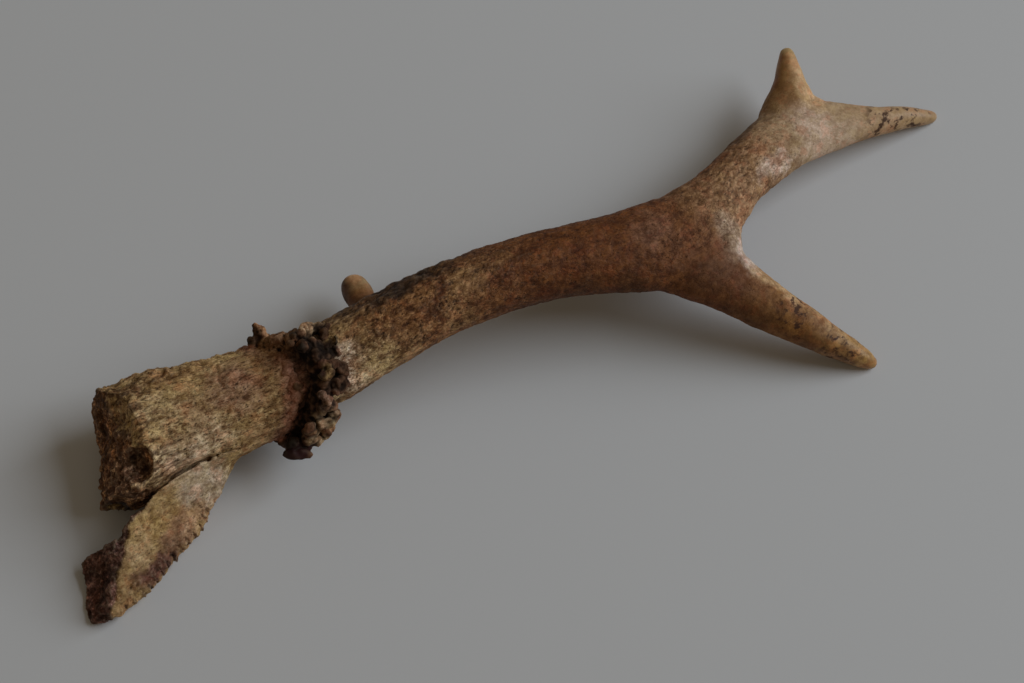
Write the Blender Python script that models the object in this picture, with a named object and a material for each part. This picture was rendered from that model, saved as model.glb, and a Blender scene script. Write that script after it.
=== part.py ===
"""A roe deer's antler on its pedicle, with the broken piece of skull roof that it grew from.

It lies on a table on its inner side. +X runs from the skull piece to the tine tips, +Z is up, and the
origin is on the table under the middle of the whole. Tables of stations are in millimetres, and every
mesh is made in metres.
"""

import math
import random

import bmesh
import bpy
from mathutils import Matrix, Vector, noise

MM = 0.001

# What brings the middle of the whole over the origin.
TO_MIDDLE = Vector((1.3, -1.1, 0.0))

# Every station is a place on a branch's middle line and the branch's size there:
# x, y, z, width across the branch as it lies, depth through it, in millimetres.
BEAM_AND_TOP_TINE = [
    (-92.0, 32.6, 16.6, 25.0, 21.0),
    (-82.0, 30.4, 17.6, 25.0, 21.4),
    (-72.0, 28.6, 18.8, 25.0, 22.0),
    (-61.0, 27.6, 20.0, 24.6, 22.6),
    (-45.0, 26.6, 22.4, 23.0, 22.2),
    (-28.5, 25.4, 25.0, 21.8, 21.2),
    (-13.0, 23.4, 26.4, 21.2, 20.4),
    (5.5, 19.2, 26.8, 21.6, 19.6),
    (19.0, 15.0, 26.2, 22.8, 19.0),
    (30.0, 11.2, 25.2, 24.8, 18.4),
    (42.0, 7.2, 23.6, 29.2, 17.6),
    (52.5, 5.4, 22.0, 31.0, 16.8),
    (61.5, 8.1, 20.8, 26.6, 16.2),
    (71.0, 11.2, 19.6, 20.8, 15.6),
    (81.0, 15.0, 18.2, 19.0, 15.0),
    (97.5, 19.3, 15.6, 20.6, 14.0),
    (109.0, 20.4, 13.2, 21.6, 12.8),
    (120.0, 17.2, 10.8, 16.6, 11.4),
    (127.0, 14.6, 9.2, 12.4, 10.2),
    (134.0, 12.3, 7.6, 9.8, 8.8),
    (141.5, 10.0, 6.0, 7.8, 7.2),
    (149.0, 8.0, 2.9, 5.6, 5.2),
    (152.0, 7.0, 1.6, 4.6, 4.4),
]
FRONT_TINE = [
    (46.0, 4.0, 22.4, 26.0, 15.0),
    (53.5, -6.5, 20.6, 23.6, 15.4),
    (60.0, -17.5, 16.8, 18.0, 14.6),
    (67.0, -28.7, 12.6, 14.4, 12.8),
    (75.6, -41.3, 7.6, 10.6, 10.0),
    (81.2, -48.8, 4.1, 7.6, 7.4),
    (84.4, -52.8, 1.8, 4.8, 4.6),
]
REAR_TINE = [
    (100.0, 18.0, 14.4, 20.0, 12.0),
    (106.9, 26.0, 14.4, 18.2, 12.0),
    (113.0, 33.0, 15.6, 12.2, 10.6),
    (116.6, 39.2, 16.8, 8.2, 8.0),
    (119.0, 43.6, 17.6, 5.0, 5.0),
]
INNER_KNOB = [
    (-41.0, 29.0, 20.0, 12.0, 12.0),
    (-39.6, 38.0, 16.6, 8.4, 8.6),
    (-38.4, 44.4, 14.0, 9.4, 9.0),
    (-38.0, 48.4, 12.4, 8.8, 8.4),
]
# Bone that rounds out the crotch of the main fork.
FORK_WEB = [
    (57.0, -14.0, 18.6, 10.0, 10.0),
    (60.5, -5.0, 20.4, 13.0, 13.0),
    (66.0, 3.5, 20.4, 12.0, 12.0),
    (75.0, 10.0, 19.0, 9.0, 10.0),
]
PEDICLE = [
    (-52.0, 27.0, 20.8, 20.0, 19.0),
    (-63.0, 28.0, 19.8, 23.6, 21.6),
    (-74.0, 29.4, 18.4, 27.0, 23.8),
    (-86.0, 31.8, 17.2, 30.4, 25.4),
    (-97.0, 34.2, 16.4, 32.6, 27.0),
    (-107.0, 36.0, 15.8, 35.0, 29.0),
    (-117.0, 37.4, 15.6, 37.6, 31.0),
    (-128.0, 38.4, 15.4, 39.0, 31.6),
    (-142.0, 38.8, 15.2, 39.0, 31.6),
]
# The brow plate's last value is its roll, in degrees, from lying flat.
BROW_PLATE = [
    (-90.0, 27.0, 15.0, 16.0, 13.0, 66.0),
    (-97.0, 24.8, 14.0, 15.0, 10.6, 68.0),
    (-104.0, 22.0, 12.6, 17.0, 9.6, 66.0),
    (-110.0, 19.6, 11.4, 20.0, 9.2, 58.0),
    (-116.0, 17.4, 10.4, 22.5, 9.0, 50.0),
    (-123.0, 15.2, 9.4, 23.0, 9.0, 42.0),
    (-131.0, 12.6, 8.2, 22.5, 9.0, 34.0),
    (-141.0, 9.8, 7.0, 22.5, 9.4, 28.0),
    (-151.0, 9.6, 6.6, 23.5, 9.8, 22.0),
    (-168.0, 9.4, 6.4, 23.5, 9.8, 18.0),
]

# Small lumps on the pedicle below the burr: place, then size.
PEDICLE_LUMPS = [
    (-76.6, 44.0, 19.6, 2.4),
    (-79.0, 43.6, 21.4, 1.9),
]

# The burr's ring leans towards the tips on its upper side.
BURR_MIDDLE = Vector((-70.6, 26.0, 20.8))
BURR_LEAN = math.radians(38.0)
BURR_HALF_WIDTH = 14.4
BURR_HALF_HEIGHT = 17.0
BURR_COLLAR = 6.0
SEAM_BACK = 5.0
PEARL_COUNT = 30
PEARL_SIZES = (1.9, 2.9)
# Turns round the ring, in degrees, between which only the big pearls grow.
PEARL_GAP = (10.0, 46.0)
# The pearls that stand out: turn round the ring in degrees from the rear side, upwards, then how far
# each stands out from the ring, how far it leans to the pedicle, and its size.
BIG_PEARLS = [
    (2.0, 1.0, 2.4, 3.0),
    (7.0, 4.6, 2.6, 2.3),
    (9.0, 8.2, 2.0, 1.6),
    (36.0, 0.6, -5.0, 2.6),
    (50.0, 0.4, -3.4, 3.0),
    (66.0, 0.8, -4.6, 2.6),
    (80.0, 1.8, -0.6, 3.2),
    (102.0, 0.2, -5.6, 2.8),
    (112.0, 1.4, 1.0, 2.8),
    (127.0, 1.6, 2.2, 2.6),
    (153.0, 1.8, 1.0, 3.0),
    (172.0, 2.2, 0.4, 3.0),
    (184.0, 1.8, 2.6, 2.8),
    (200.0, 2.8, 1.4, 3.2),
    (216.0, 3.8, 2.6, 3.4),
    (230.0, 2.0, 1.6, 3.2),
    (290.0, 1.0, 0.0, 3.2),
    (320.0, 1.0, 1.0, 2.8),
]

SEAM_GAP = 0.3
VOXEL = 0.95
ANTLER_TRIANGLES = 5900
SKULL_TRIANGLES = 1700

# What reaches the table is worn flat there.
TABLE = (Vector((0.0, 0.0, 0.0)), Vector((0.0, 0.0, 1.0)))
# Planes across the roots of the branches: a point on each and the way the branch leaves.
UPPER_BEAM_ROOT = (Vector((67.5, 9.2, 20.0)), Vector((0.80, 0.58, -0.16)))
FRONT_TINE_ROOT = (Vector((59.0, -15.5, 17.8)), Vector((0.44, -0.84, -0.32)))
REAR_TINE_ROOT = (Vector((111.5, 29.5, 15.0)), Vector((0.30, 0.94, 0.14)))
TOP_TINE_ROOT = (Vector((118.0, 17.4, 11.4)), Vector((0.93, -0.28, -0.23)))

# The rough break across the thick bone: x at the break, for a grid of y from front to rear and z from
# the table up.
BREAK_Y = (20.0, 24.0, 31.0, 39.0, 43.0, 51.0, 62.0)
BREAK_Z = (-4.0, 14.0, 36.0)
BREAK_X = (
    (-141.0, -137.0, -118.0),
    (-141.0, -136.0, -115.0),
    (-138.5, -133.0, -113.0),
    (-134.0, -129.5, -112.0),
    (-129.0, -126.0, -112.5),
    (-129.0, -125.5, -114.0),
    (-123.0, -120.5, -117.0),
)
BREAK_ROUGHNESS = 1.5
BREAK_PITCH = 2.7
BREAK_BEYOND_X = -185.0
PLATE_BREAK_Y = (-12.0, -1.0, 4.0, 10.0, 16.0, 21.5)
PLATE_BREAK_Z = (-4.0, 3.0, 12.0, 36.0)
PLATE_BREAK_X = (
    (-159.0, -154.0, -146.0, -130.0),
    (-159.0, -154.2, -145.0, -128.0),
    (-159.0, -153.6, -143.5, -128.0),
    (-156.0, -150.6, -142.5, -126.0),
    (-154.0, -151.4, -143.0, -120.0),
    (-152.0, -150.4, -143.0, -120.0),
)

BRAIN_HOLLOW = (Vector((-132.0, 28.0, -7.0)), Vector((32.0, 14.0, 13.5)))
SINUS_PIT = (Vector((-123.2, 27.0, 26.5)), Vector((5.4, 5.8, 6.6)))
SMALL_PIT = (Vector((-132.4, 25.6, 9.0)), Vector((3.6, 2.6, 1.9)))

# The drying crack between the pedicle's foot and the brow plate, which opens to a notch at the break:
# x, y of its front wall, y of its rear wall, and how low it reaches.
CRACK = [
    (-152.0, 18.4, 36.0, -3.0),
    (-147.0, 18.0, 33.0, -3.0),
    (-141.6, 15.6, 30.0, -3.0),
    (-137.6, 14.2, 28.4, -3.0),
    (-135.0, 16.0, 26.8, -3.0),
    (-132.6, 17.0, 25.2, -3.0),
    (-128.0, 17.4, 22.0, 1.0),
    (-123.0, 19.2, 21.0, 8.0),
    (-113.6, 20.1, 21.4, 10.0),
    (-106.6, 20.0, 21.1, 11.0),
    (-99.4, 19.0, 19.8, 12.0),
    (-94.0, 17.8, 18.2, 14.0),
]
# The brow plate's lower edge, where it was joined to the next bone by teeth: x, y.
SUTURE = [
    (-106.0, 14.6),
    (-111.0, 11.2),
    (-118.0, 7.2),
    (-129.0, 3.6),
    (-139.0, -0.6),
    (-147.0, -2.8),
]
TOOTH_PITCH = 2.6
TOOTH_LENGTH = 1.7
TOOTH_TOP_Z = 12.0


def blended(stations, spacing):
    """The stations with others between them, on a smooth curve, about one every spacing."""
    rows = [Vector(s) for s in stations]
    made = []
    for i in range(len(rows) - 1):
        before = rows[max(i - 1, 0)]
        here, there = rows[i], rows[i + 1]
        after = rows[min(i + 2, len(rows) - 1)]
        steps = max(1, round((there.to_3d() - here.to_3d()).length / spacing))
        for step in range(steps):
            t = step / steps
            made.append(
                0.5
                * (
                    2 * here
                    + (there - before) * t
                    + (2 * before - 5 * here + 4 * there - after) * t**2
                    + (3 * here - before - 3 * there + after) * t**3
                )
            )
    return made + [rows[-1]]


def ring_of(station, along, sides, shrink=1.0, squareness=1.0):
    """The points of an oval section square to the way along; a low squareness fills out its corners."""
    across = Vector((0, 0, 1)).cross(along).normalized()
    through = along.cross(across)
    if len(station) > 5:
        turn = Matrix.Rotation(-math.radians(station[5]), 3, along)
        across, through = turn @ across, turn @ through
    middle = station.to_3d()
    points = []
    for k in range(sides):
        angle = 2 * math.pi * k / sides
        cosine, sine = (math.copysign(abs(f(angle)) ** squareness, f(angle)) for f in (math.cos, math.sin))
        out = across * cosine * station[3] + through * sine * station[4]
        points.append((middle + out * 0.5 * shrink) * MM)
    return points


def add_branch(bm, stations, spacing=3.0, sides=20, domed=True, squareness=1.0):
    """A closed branch through the stations, with a rounded tip."""
    rows = blended(stations, spacing)
    ways = []
    for i in range(len(rows)):
        ahead, behind = rows[min(i + 1, len(rows) - 1)], rows[max(i - 1, 0)]
        ways.append((ahead.to_3d() - behind.to_3d()).normalized())
    rings = [ring_of(row, way, sides, 1.0, squareness) for row, way in zip(rows, ways)]
    if domed:
        tip, way = rows[-1], ways[-1]
        for angle in (30, 55, 75):
            lift, shrink = math.sin(math.radians(angle)), math.cos(math.radians(angle))
            moved = tip.copy()
            for axis in range(3):
                moved[axis] += way[axis] * lift * tip[3] / 2
            rings.append(ring_of(moved, way, sides, shrink))
    verts = [[bm.verts.new(p) for p in ring] for ring in rings]
    for low, high in zip(verts, verts[1:]):
        for k in range(sides):
            n = (k + 1) % sides
            bm.faces.new((low[k], high[k], high[n], low[n]))
    bm.faces.new(verts[0])
    bm.faces.new(reversed(verts[-1]))


def add_lump(bm, middle, size, stretch=(1.0, 1.0, 1.0), turn=None, rough=0.0):
    """An uneven ball of bone."""
    made = bmesh.ops.create_icosphere(bm, subdivisions=2, radius=1.0)["verts"]
    turn = turn or Matrix.Identity(3)
    for v in made:
        bump = 1 + rough * noise.noise(v.co * 1.6 + middle)
        local = Vector(v.co[i] * stretch[i] * size * bump for i in range(3))
        v.co = (middle + turn @ local) * MM


def add_burr(bm):
    """The coronet: a leaning collar of bone with knobbly pearls all round it."""
    lean = Matrix.Rotation(BURR_LEAN, 3, "Y")
    rear, up, tipward = lean @ Vector((0, 1, 0)), lean @ Vector((0, 0, 1)), lean @ Vector((1, 0, 0))

    def on_ring(degrees, out, back):
        angle = math.radians(degrees)
        flat = rear * math.cos(angle) * (BURR_HALF_WIDTH + out)
        return BURR_MIDDLE + flat + up * math.sin(angle) * (BURR_HALF_HEIGHT + out) - tipward * back

    collar = 30
    for k in range(collar):
        add_lump(bm, on_ring(360 * k / collar, -3.6, 0.0), BURR_COLLAR / 2, (1.2, 1.5, 1.5), lean)
    draw = random.Random(11)
    for k in range(PEARL_COUNT):
        degrees = 360 * (k + draw.uniform(-0.3, 0.3)) / PEARL_COUNT
        if PEARL_GAP[0] < degrees % 360 < PEARL_GAP[1]:
            continue
        size = draw.uniform(*PEARL_SIZES)
        place = on_ring(degrees, draw.uniform(-0.6, 1.6), draw.uniform(-1.8, 3.2))
        stretch = (draw.uniform(1.0, 1.5), 1.0, draw.uniform(0.8, 1.1))
        add_lump(bm, place, size, stretch, lean, 0.3)
    for degrees, out, back, size in BIG_PEARLS:
        add_lump(bm, on_ring(degrees, out, back), size, (1.15, 1.0, 1.0), lean, 0.4)


def mesh_object(name, bm):
    """A linked object holding the bmesh."""
    mesh = bpy.data.meshes.new(name)
    bm.to_mesh(mesh)
    bm.free()
    made = bpy.data.objects.new(name, mesh)
    bpy.context.scene.collection.objects.link(made)
    return made


def evaluated_mesh(obj):
    """The object's mesh with its modifiers applied."""
    bpy.context.view_layer.update()
    graph = bpy.context.evaluated_depsgraph_get()
    return bpy.data.meshes.new_from_object(obj.evaluated_get(graph))


def grown_together(name, bm, smoothing, triangles):
    """The overlapping shapes fused in one skin, evened out and thinned to about that many triangles."""
    rough = mesh_object(name, bm)
    fuse = rough.modifiers.new("fuse", "REMESH")
    fuse.mode = "VOXEL"
    fuse.voxel_size = VOXEL * MM
    even = rough.modifiers.new("even", "SMOOTH")
    even.factor = 0.5
    even.iterations = smoothing
    full = evaluated_mesh(rough)
    full.calc_loop_triangles()
    thin = rough.modifiers.new("thin", "DECIMATE")
    thin.ratio = min(1.0, triangles / len(full.loop_triangles))
    made = evaluated_mesh(rough)
    bpy.data.meshes.remove(full)
    bpy.data.objects.remove(rough)
    return made


def half_of(mesh, plane, side, gap=SEAM_GAP):
    """The closed part of the mesh on one side of a plane, half a gap short of it."""
    point, way = plane
    way = way.normalized() * side
    bm = bmesh.new()
    bm.from_mesh(mesh)
    geom = bm.verts[:] + bm.edges[:] + bm.faces[:]
    at = (point + way * gap / 2) * MM
    bmesh.ops.bisect_plane(bm, geom=geom, plane_co=at, plane_no=way, clear_inner=True)
    rim = [e for e in bm.edges if e.is_boundary]
    bmesh.ops.triangle_fill(bm, use_beauty=True, edges=rim)
    bmesh.ops.recalc_face_normals(bm, faces=bm.faces[:])
    made = bpy.data.meshes.new(mesh.name)
    bm.to_mesh(made)
    bm.free()
    return made


def finished(name, mesh, colour, roughness):
    """The mesh as the named piece, smooth apart from its sharp edges, with its own material."""
    made = bpy.data.objects.new(name, mesh)
    bpy.context.scene.collection.objects.link(made)
    mesh.name = name
    mesh.shade_smooth()
    mesh.set_sharp_from_angle(angle=math.radians(50))
    material = bpy.data.materials.new(name)
    material.use_nodes = True
    shader = material.node_tree.nodes["Principled BSDF"]
    shader.inputs["Base Color"].default_value = (*colour, 1.0)
    shader.inputs["Roughness"].default_value = roughness
    shader.inputs["Metallic"].default_value = 0.0
    mesh.materials.clear()
    mesh.materials.append(material)
    return made


def as_cutter(obj):
    obj.hide_render = True
    obj.display_type = "WIRE"
    return obj


def cut(target, cutter):
    """Takes the cutter's shape out of the target."""
    modifier = target.modifiers.new(cutter.name, "BOOLEAN")
    modifier.operation = "DIFFERENCE"
    modifier.solver = "EXACT"
    modifier.object = as_cutter(cutter)


def between(value, marks, column):
    """Linear interpolation of the column at value."""
    value = min(max(value, marks[0]), marks[-1])
    for i in range(len(marks) - 1):
        if value <= marks[i + 1]:
            t = (value - marks[i]) / (marks[i + 1] - marks[i])
            return column[i] * (1 - t) + column[i + 1] * t
    return column[-1]


def break_cutter(name, ys, zs, xs):
    """Everything beyond a rough break: a block whose front face is the torn surface."""
    bm = bmesh.new()
    rows = []
    y_count = round((ys[-1] - ys[0]) / BREAK_PITCH)
    z_count = round((zs[-1] - zs[0]) / BREAK_PITCH)
    for i in range(y_count + 1):
        y = ys[0] + (ys[-1] - ys[0]) * i / y_count
        row = []
        for j in range(z_count + 1):
            z = zs[0] + (zs[-1] - zs[0]) * j / z_count
            x = between(y, ys, [between(z, zs, column) for column in xs])
            x += BREAK_ROUGHNESS * noise.fractal(Vector((x, y, z)) / 5.0, 1.0, 2.0, 3)
            row.append(bm.verts.new(Vector((x, y, z)) * MM))
        rows.append(row)
    for low, high in zip(rows, rows[1:]):
        for k in range(z_count):
            bm.faces.new((low[k], high[k], high[k + 1], low[k + 1]))
    pushed = bmesh.ops.extrude_face_region(bm, geom=bm.faces[:])["geom"]
    for v in pushed:
        if isinstance(v, bmesh.types.BMVert):
            v.co.x = BREAK_BEYOND_X * MM
    bmesh.ops.recalc_face_normals(bm, faces=bm.faces[:])
    return mesh_object(name, bm)


def ball_cutter(name, middle, radii, rough=0.12):
    """An uneven egg-shaped hollow."""
    bm = bmesh.new()
    bmesh.ops.create_icosphere(bm, subdivisions=3, radius=1.0)
    for v in bm.verts:
        bump = 1 + rough * noise.noise(v.co * 2.2)
        v.co = Vector((middle[i] + v.co[i] * radii[i] * bump) * MM for i in range(3))
    return mesh_object(name, bm)


def crack_cutter():
    """A thin upright wedge that follows the crack and opens to a notch at the break."""
    bm = bmesh.new()
    sections = []
    for x, front, rear, floor in CRACK:
        corners = [(front, floor), (rear, floor), (rear, 40.0), (front, 40.0)]
        sections.append([bm.verts.new(Vector((x, a, b)) * MM) for a, b in corners])
    for low, high in zip(sections, sections[1:]):
        for k in range(4):
            n = (k + 1) % 4
            bm.faces.new((low[k], high[k], high[n], low[n]))
    bm.faces.new(sections[0])
    bm.faces.new(sections[-1][::-1])
    bmesh.ops.recalc_face_normals(bm, faces=bm.faces[:])
    bmesh.ops.triangulate(bm, faces=bm.faces[:])
    return mesh_object("crack", bm)


def suture_cutter():
    """A row of upright wedges that leaves the brow plate's lower edge in teeth."""
    bm = bmesh.new()
    edge = blended([(x, y, 0.0) for x, y in SUTURE], TOOTH_PITCH)
    for before, here, after in zip(edge, edge[1:], edge[2:]):
        along = (after - before).normalized()
        inwards = Vector((-along.y, along.x, 0)) if along.x > 0 else Vector((along.y, -along.x, 0))
        corners = [
            here + inwards * TOOTH_LENGTH,
            here + along * TOOTH_PITCH * 0.42 - inwards * 2.0,
            here - along * TOOTH_PITCH * 0.42 - inwards * 2.0,
        ]
        low = [bm.verts.new((c + Vector((0, 0, -2.0))) * MM) for c in corners]
        high = [bm.verts.new((c + Vector((0, 0, TOOTH_TOP_Z))) * MM) for c in corners]
        bm.faces.new(low)
        bm.faces.new(high[::-1])
        for k in range(3):
            n = (k + 1) % 3
            bm.faces.new((low[k], high[k], high[n], low[n]))
    bmesh.ops.recalc_face_normals(bm, faces=bm.faces[:])
    return mesh_object("suture_teeth", bm)


def build_antler():
    """The antler from its burr up, split across the roots of its branches."""
    bm = bmesh.new()
    for stations in (BEAM_AND_TOP_TINE, FRONT_TINE, REAR_TINE, INNER_KNOB, FORK_WEB):
        add_branch(bm, stations)
    add_burr(bm)
    whole = grown_together("antler", bm, 4, ANTLER_TRIANGLES)
    whole = half_of(half_of(whole, TABLE, 1, gap=0.0), burr_plane(), 1)
    upper = half_of(whole, UPPER_BEAM_ROOT, 1)
    lower = half_of(whole, UPPER_BEAM_ROOT, -1)
    crown = half_of(upper, REAR_TINE_ROOT, -1)
    finished("lower_beam", half_of(lower, FRONT_TINE_ROOT, -1), (0.19, 0.105, 0.055), 0.6)
    finished("front_tine", half_of(lower, FRONT_TINE_ROOT, 1), (0.30, 0.19, 0.10), 0.45)
    finished("upper_beam", half_of(crown, TOP_TINE_ROOT, -1), (0.29, 0.19, 0.125), 0.6)
    finished("top_tine", half_of(crown, TOP_TINE_ROOT, 1), (0.36, 0.26, 0.16), 0.45)
    finished("rear_tine", half_of(upper, REAR_TINE_ROOT, 1), (0.36, 0.25, 0.14), 0.45)


def burr_plane():
    """The plane where the antler is shed from its pedicle."""
    way = Matrix.Rotation(BURR_LEAN, 3, "Y") @ Vector((1, 0, 0))
    return BURR_MIDDLE - way * SEAM_BACK, way


def build_skull_piece():
    """The pedicle with the thick bone at its foot and the brow plate, broken off all round."""
    bm = bmesh.new()
    add_branch(bm, PEDICLE, domed=False)
    add_branch(bm, BROW_PLATE, domed=False, squareness=0.65)
    for x, y, z, size in PEDICLE_LUMPS:
        add_lump(bm, Vector((x, y, z)), size, rough=0.4)
    whole = grown_together("skull", bm, 4, SKULL_TRIANGLES)
    whole = half_of(half_of(whole, TABLE, 1, gap=0.0), burr_plane(), -1)
    piece = finished("skull_piece", whole, (0.30, 0.22, 0.13), 0.7)
    cut(piece, ball_cutter("brain_hollow", *BRAIN_HOLLOW))
    cut(piece, break_cutter("thick_break", BREAK_Y, BREAK_Z, BREAK_X))
    cut(piece, break_cutter("plate_break", PLATE_BREAK_Y, PLATE_BREAK_Z, PLATE_BREAK_X))
    cut(piece, ball_cutter("sinus_pit", *SINUS_PIT))
    cut(piece, ball_cutter("small_pit", *SMALL_PIT))
    cut(piece, crack_cutter())
    cut(piece, suture_cutter())


def main():
    for obj in list(bpy.data.objects):
        bpy.data.objects.remove(obj)
    build_antler()
    build_skull_piece()
    for obj in bpy.data.objects:
        obj.data.transform(Matrix.Translation(TO_MIDDLE * MM))


main()
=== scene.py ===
"""A roe deer's antler on its pedicle, with the broken piece of skull roof, dressed in its fine surface.

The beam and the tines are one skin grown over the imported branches. The burr is a crust of pearls round
the beam's foot, and the skull piece keeps its packed form under fibrous bone and spongy breaks. Places
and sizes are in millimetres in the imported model's frame, and every mesh is made in metres.
"""

import math
import random
from types import SimpleNamespace

import bmesh
import bpy
import numpy as np
from mathutils import Matrix, Vector, noise
from mathutils.bvhtree import BVHTree
from mathutils.kdtree import KDTree


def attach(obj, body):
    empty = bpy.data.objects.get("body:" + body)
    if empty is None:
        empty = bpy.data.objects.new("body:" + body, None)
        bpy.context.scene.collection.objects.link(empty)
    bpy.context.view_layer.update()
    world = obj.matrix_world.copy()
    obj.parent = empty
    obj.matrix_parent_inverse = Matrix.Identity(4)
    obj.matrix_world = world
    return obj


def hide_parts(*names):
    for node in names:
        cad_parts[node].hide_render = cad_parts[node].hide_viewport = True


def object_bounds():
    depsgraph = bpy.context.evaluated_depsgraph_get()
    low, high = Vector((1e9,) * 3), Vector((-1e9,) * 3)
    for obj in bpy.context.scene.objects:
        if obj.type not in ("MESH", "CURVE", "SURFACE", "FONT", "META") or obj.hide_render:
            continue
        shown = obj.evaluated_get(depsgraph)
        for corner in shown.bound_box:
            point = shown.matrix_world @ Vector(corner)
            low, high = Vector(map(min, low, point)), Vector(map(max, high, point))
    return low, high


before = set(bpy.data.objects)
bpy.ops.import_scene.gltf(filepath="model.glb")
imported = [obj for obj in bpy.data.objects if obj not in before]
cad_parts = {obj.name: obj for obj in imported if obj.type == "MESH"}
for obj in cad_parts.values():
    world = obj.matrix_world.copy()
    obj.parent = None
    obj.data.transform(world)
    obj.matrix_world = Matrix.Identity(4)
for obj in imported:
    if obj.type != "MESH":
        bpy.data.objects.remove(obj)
CAD_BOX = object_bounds()

MM = 0.001

# Middle lines of the branches from root to tip: x, y, z and half the branch's width there.
MAIN_LINE = [
    (-90.7, 31.5, 16.6, 11.8),
    (-70.7, 27.5, 18.8, 11.7),
    (-43.7, 25.5, 22.4, 11.3),
    (-27.2, 24.3, 25, 10.8),
    (-11.7, 22.3, 26.4, 10.5),
    (6.8, 18.1, 26.8, 10.3),
    (20.3, 13.9, 26.2, 10.5),
    (31.3, 10.1, 25.2, 10.9),
    (43.3, 6.1, 23.6, 11.8),
    (53.8, 4.3, 22, 12.2),
    (62.8, 7, 20.8, 10.8),
    (72.3, 10.1, 19.6, 9.2),
    (82.3, 13.9, 18.2, 8.6),
    (98.8, 18.2, 15.6, 8.8),
    (110.3, 19.3, 13.2, 8.8),
    (121.3, 16.1, 10.8, 7),
    (135.3, 11.2, 7.6, 4.6),
    (150.3, 6.9, 2.9, 2.7),
    (153.5, 5.9, 1.6, 2.2),
]
FRONT_LINE = [
    (47.3, 2.9, 22.4, 10.4),
    (54.8, -7.6, 20.6, 9.8),
    (61.3, -18.6, 16.8, 8.2),
    (68.3, -29.8, 12.6, 6.8),
    (76.9, -42.4, 7.6, 5.2),
    (82.5, -49.9, 4.1, 3.8),
    (85.7, -53.9, 1.8, 2.3),
]
REAR_LINE = [
    (101.3, 16.9, 14.4, 8.4),
    (108.2, 24.9, 14.4, 7.6),
    (114.3, 31.9, 15.6, 5.7),
    (117.9, 38.1, 16.8, 4),
    (120.3, 42.5, 17.6, 2.5),
]
KNOB_LINE = [
    (-39.7, 27.9, 20, 6),
    (-38.3, 36.9, 16.6, 4.2),
    (-37.1, 43.3, 14, 4.7),
    (-36.7, 47.3, 12.4, 4.3),
]
PEDICLE_WAY = Vector((-0.985, 0.135, -0.06))

# The burr's leaning ring: its middle, lean, half width and half height, how thick its collar is and of
# how many lumps, and how far from it the beam's foot is slimmed.
BURR_MIDDLE = Vector((-69.3, 24.9, 20.8))
BURR_LEAN = math.radians(38)
BURR_HALF_WIDTH = 14.4
BURR_HALF_HEIGHT = 17.0
BURR_COLLAR = 6.0
COLLAR_COUNT = 36
BURR_REACH = 12.0
# The burr's crags: turn round its leaning ring in degrees from the rear side, upwards, then how far each
# stands out from the ring, how far it leans to the pedicle, and its size.
BIG_PEARLS = [
    (18, -1.2, 3.8, 2.5),
    (30, -1.2, 2.6, 2.5),
    (42, -1, 1.5, 2.5),
    (58, -0.6, 2, 2.4),
    (51, -0.4, -2.2, 2.4),
    (54.5, 1.4, -2.1, 2.2),
    (57.4, 1, 0.6, 2),
    (55.5, 1.2, -3.8, 1.9),
    (60, 0.7, 3.4, 1.8),
    (60, -0.2, 5.4, 1.6),
    (62, -1.2, 7.2, 1.2),
    (74, -1.6, 4.6, 2),
    (68.7, 0.2, -4.3, 1.9),
    (64, 0.2, -7, 1.8),
    (61.5, 0.1, -8.4, 1.6),
    (59, 0.1, -9.8, 1.5),
    (56.5, 0.1, -11.2, 1.3),
    (92, -2.8, -2.6, 2.4),
    (90.5, -0.5, -6.6, 1.6),
    (94, -0.6, -4.6, 1.8),
    (110.6, 0.6, 3.2, 1.8),
    (112, 0.4, 0.6, 1.8),
    (119.7, 0.9, 3.4, 2.1),
    (114.3, 0, -2.5, 2.2),
    (121.7, -0.4, -4.1, 2),
    (129.6, 0, -1.8, 2.2),
    (134, -0.4, -4.3, 1.9),
    (139, 0, -1.5, 1.8),
    (142.4, 0.2, 4.3, 1.7),
    (147.6, 0.6, 2.2, 2.1),
    (155.4, 0.4, 0.5, 2.1),
    (156, 0.2, 3, 1.9),
    (166, 0.2, -1.6, 1.9),
    (177, 0.5, 0.9, 1.9),
    (174.4, 0.7, -0.5, 2.2),
    (173.7, 0.4, -2.5, 2.1),
    (175.5, 1.3, 6, 1.7),
    (183, 1.2, 4, 1.8),
    (190, 0.4, 2, 2.1),
    (189, 0.8, -3.8, 2),
    (200, 1, -4.4, 1.9),
    (200, 2, 1.5, 2.1),
    (202, 2, -1.9, 2.1),
    (208, 1.2, 0.8, 2.1),
    (211, 0.6, 3.2, 2.5),
    (208.5, 2.4, 3, 2.2),
    (209, 1.6, 5.4, 2),
    (207.6, 2.9, 0.4, 2),
    (228, 0.4, 1.8, 2.8),
    (243, 0.2, 0.4, 2.6),
    (262, 0.2, 1.6, 2.8),
    (281, 0.4, 0, 2.8),
    (300, 0.2, 1.4, 2.6),
    (318, 0.4, 0.6, 2.8),
    (337, 0.2, 1.8, 2.6),
    (352, 0, 2.6, 2.6),
]

# The grid in which each skin is grown, and how far the antler is swollen for that.
ANTLER_VOXEL = 0.535
BURR_VOXEL = 0.32
SKULL_VOXEL = 0.38
ANTLER_SWELL = 0.3
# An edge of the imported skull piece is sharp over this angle.
SHARP_ANGLE = math.radians(48)

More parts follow.
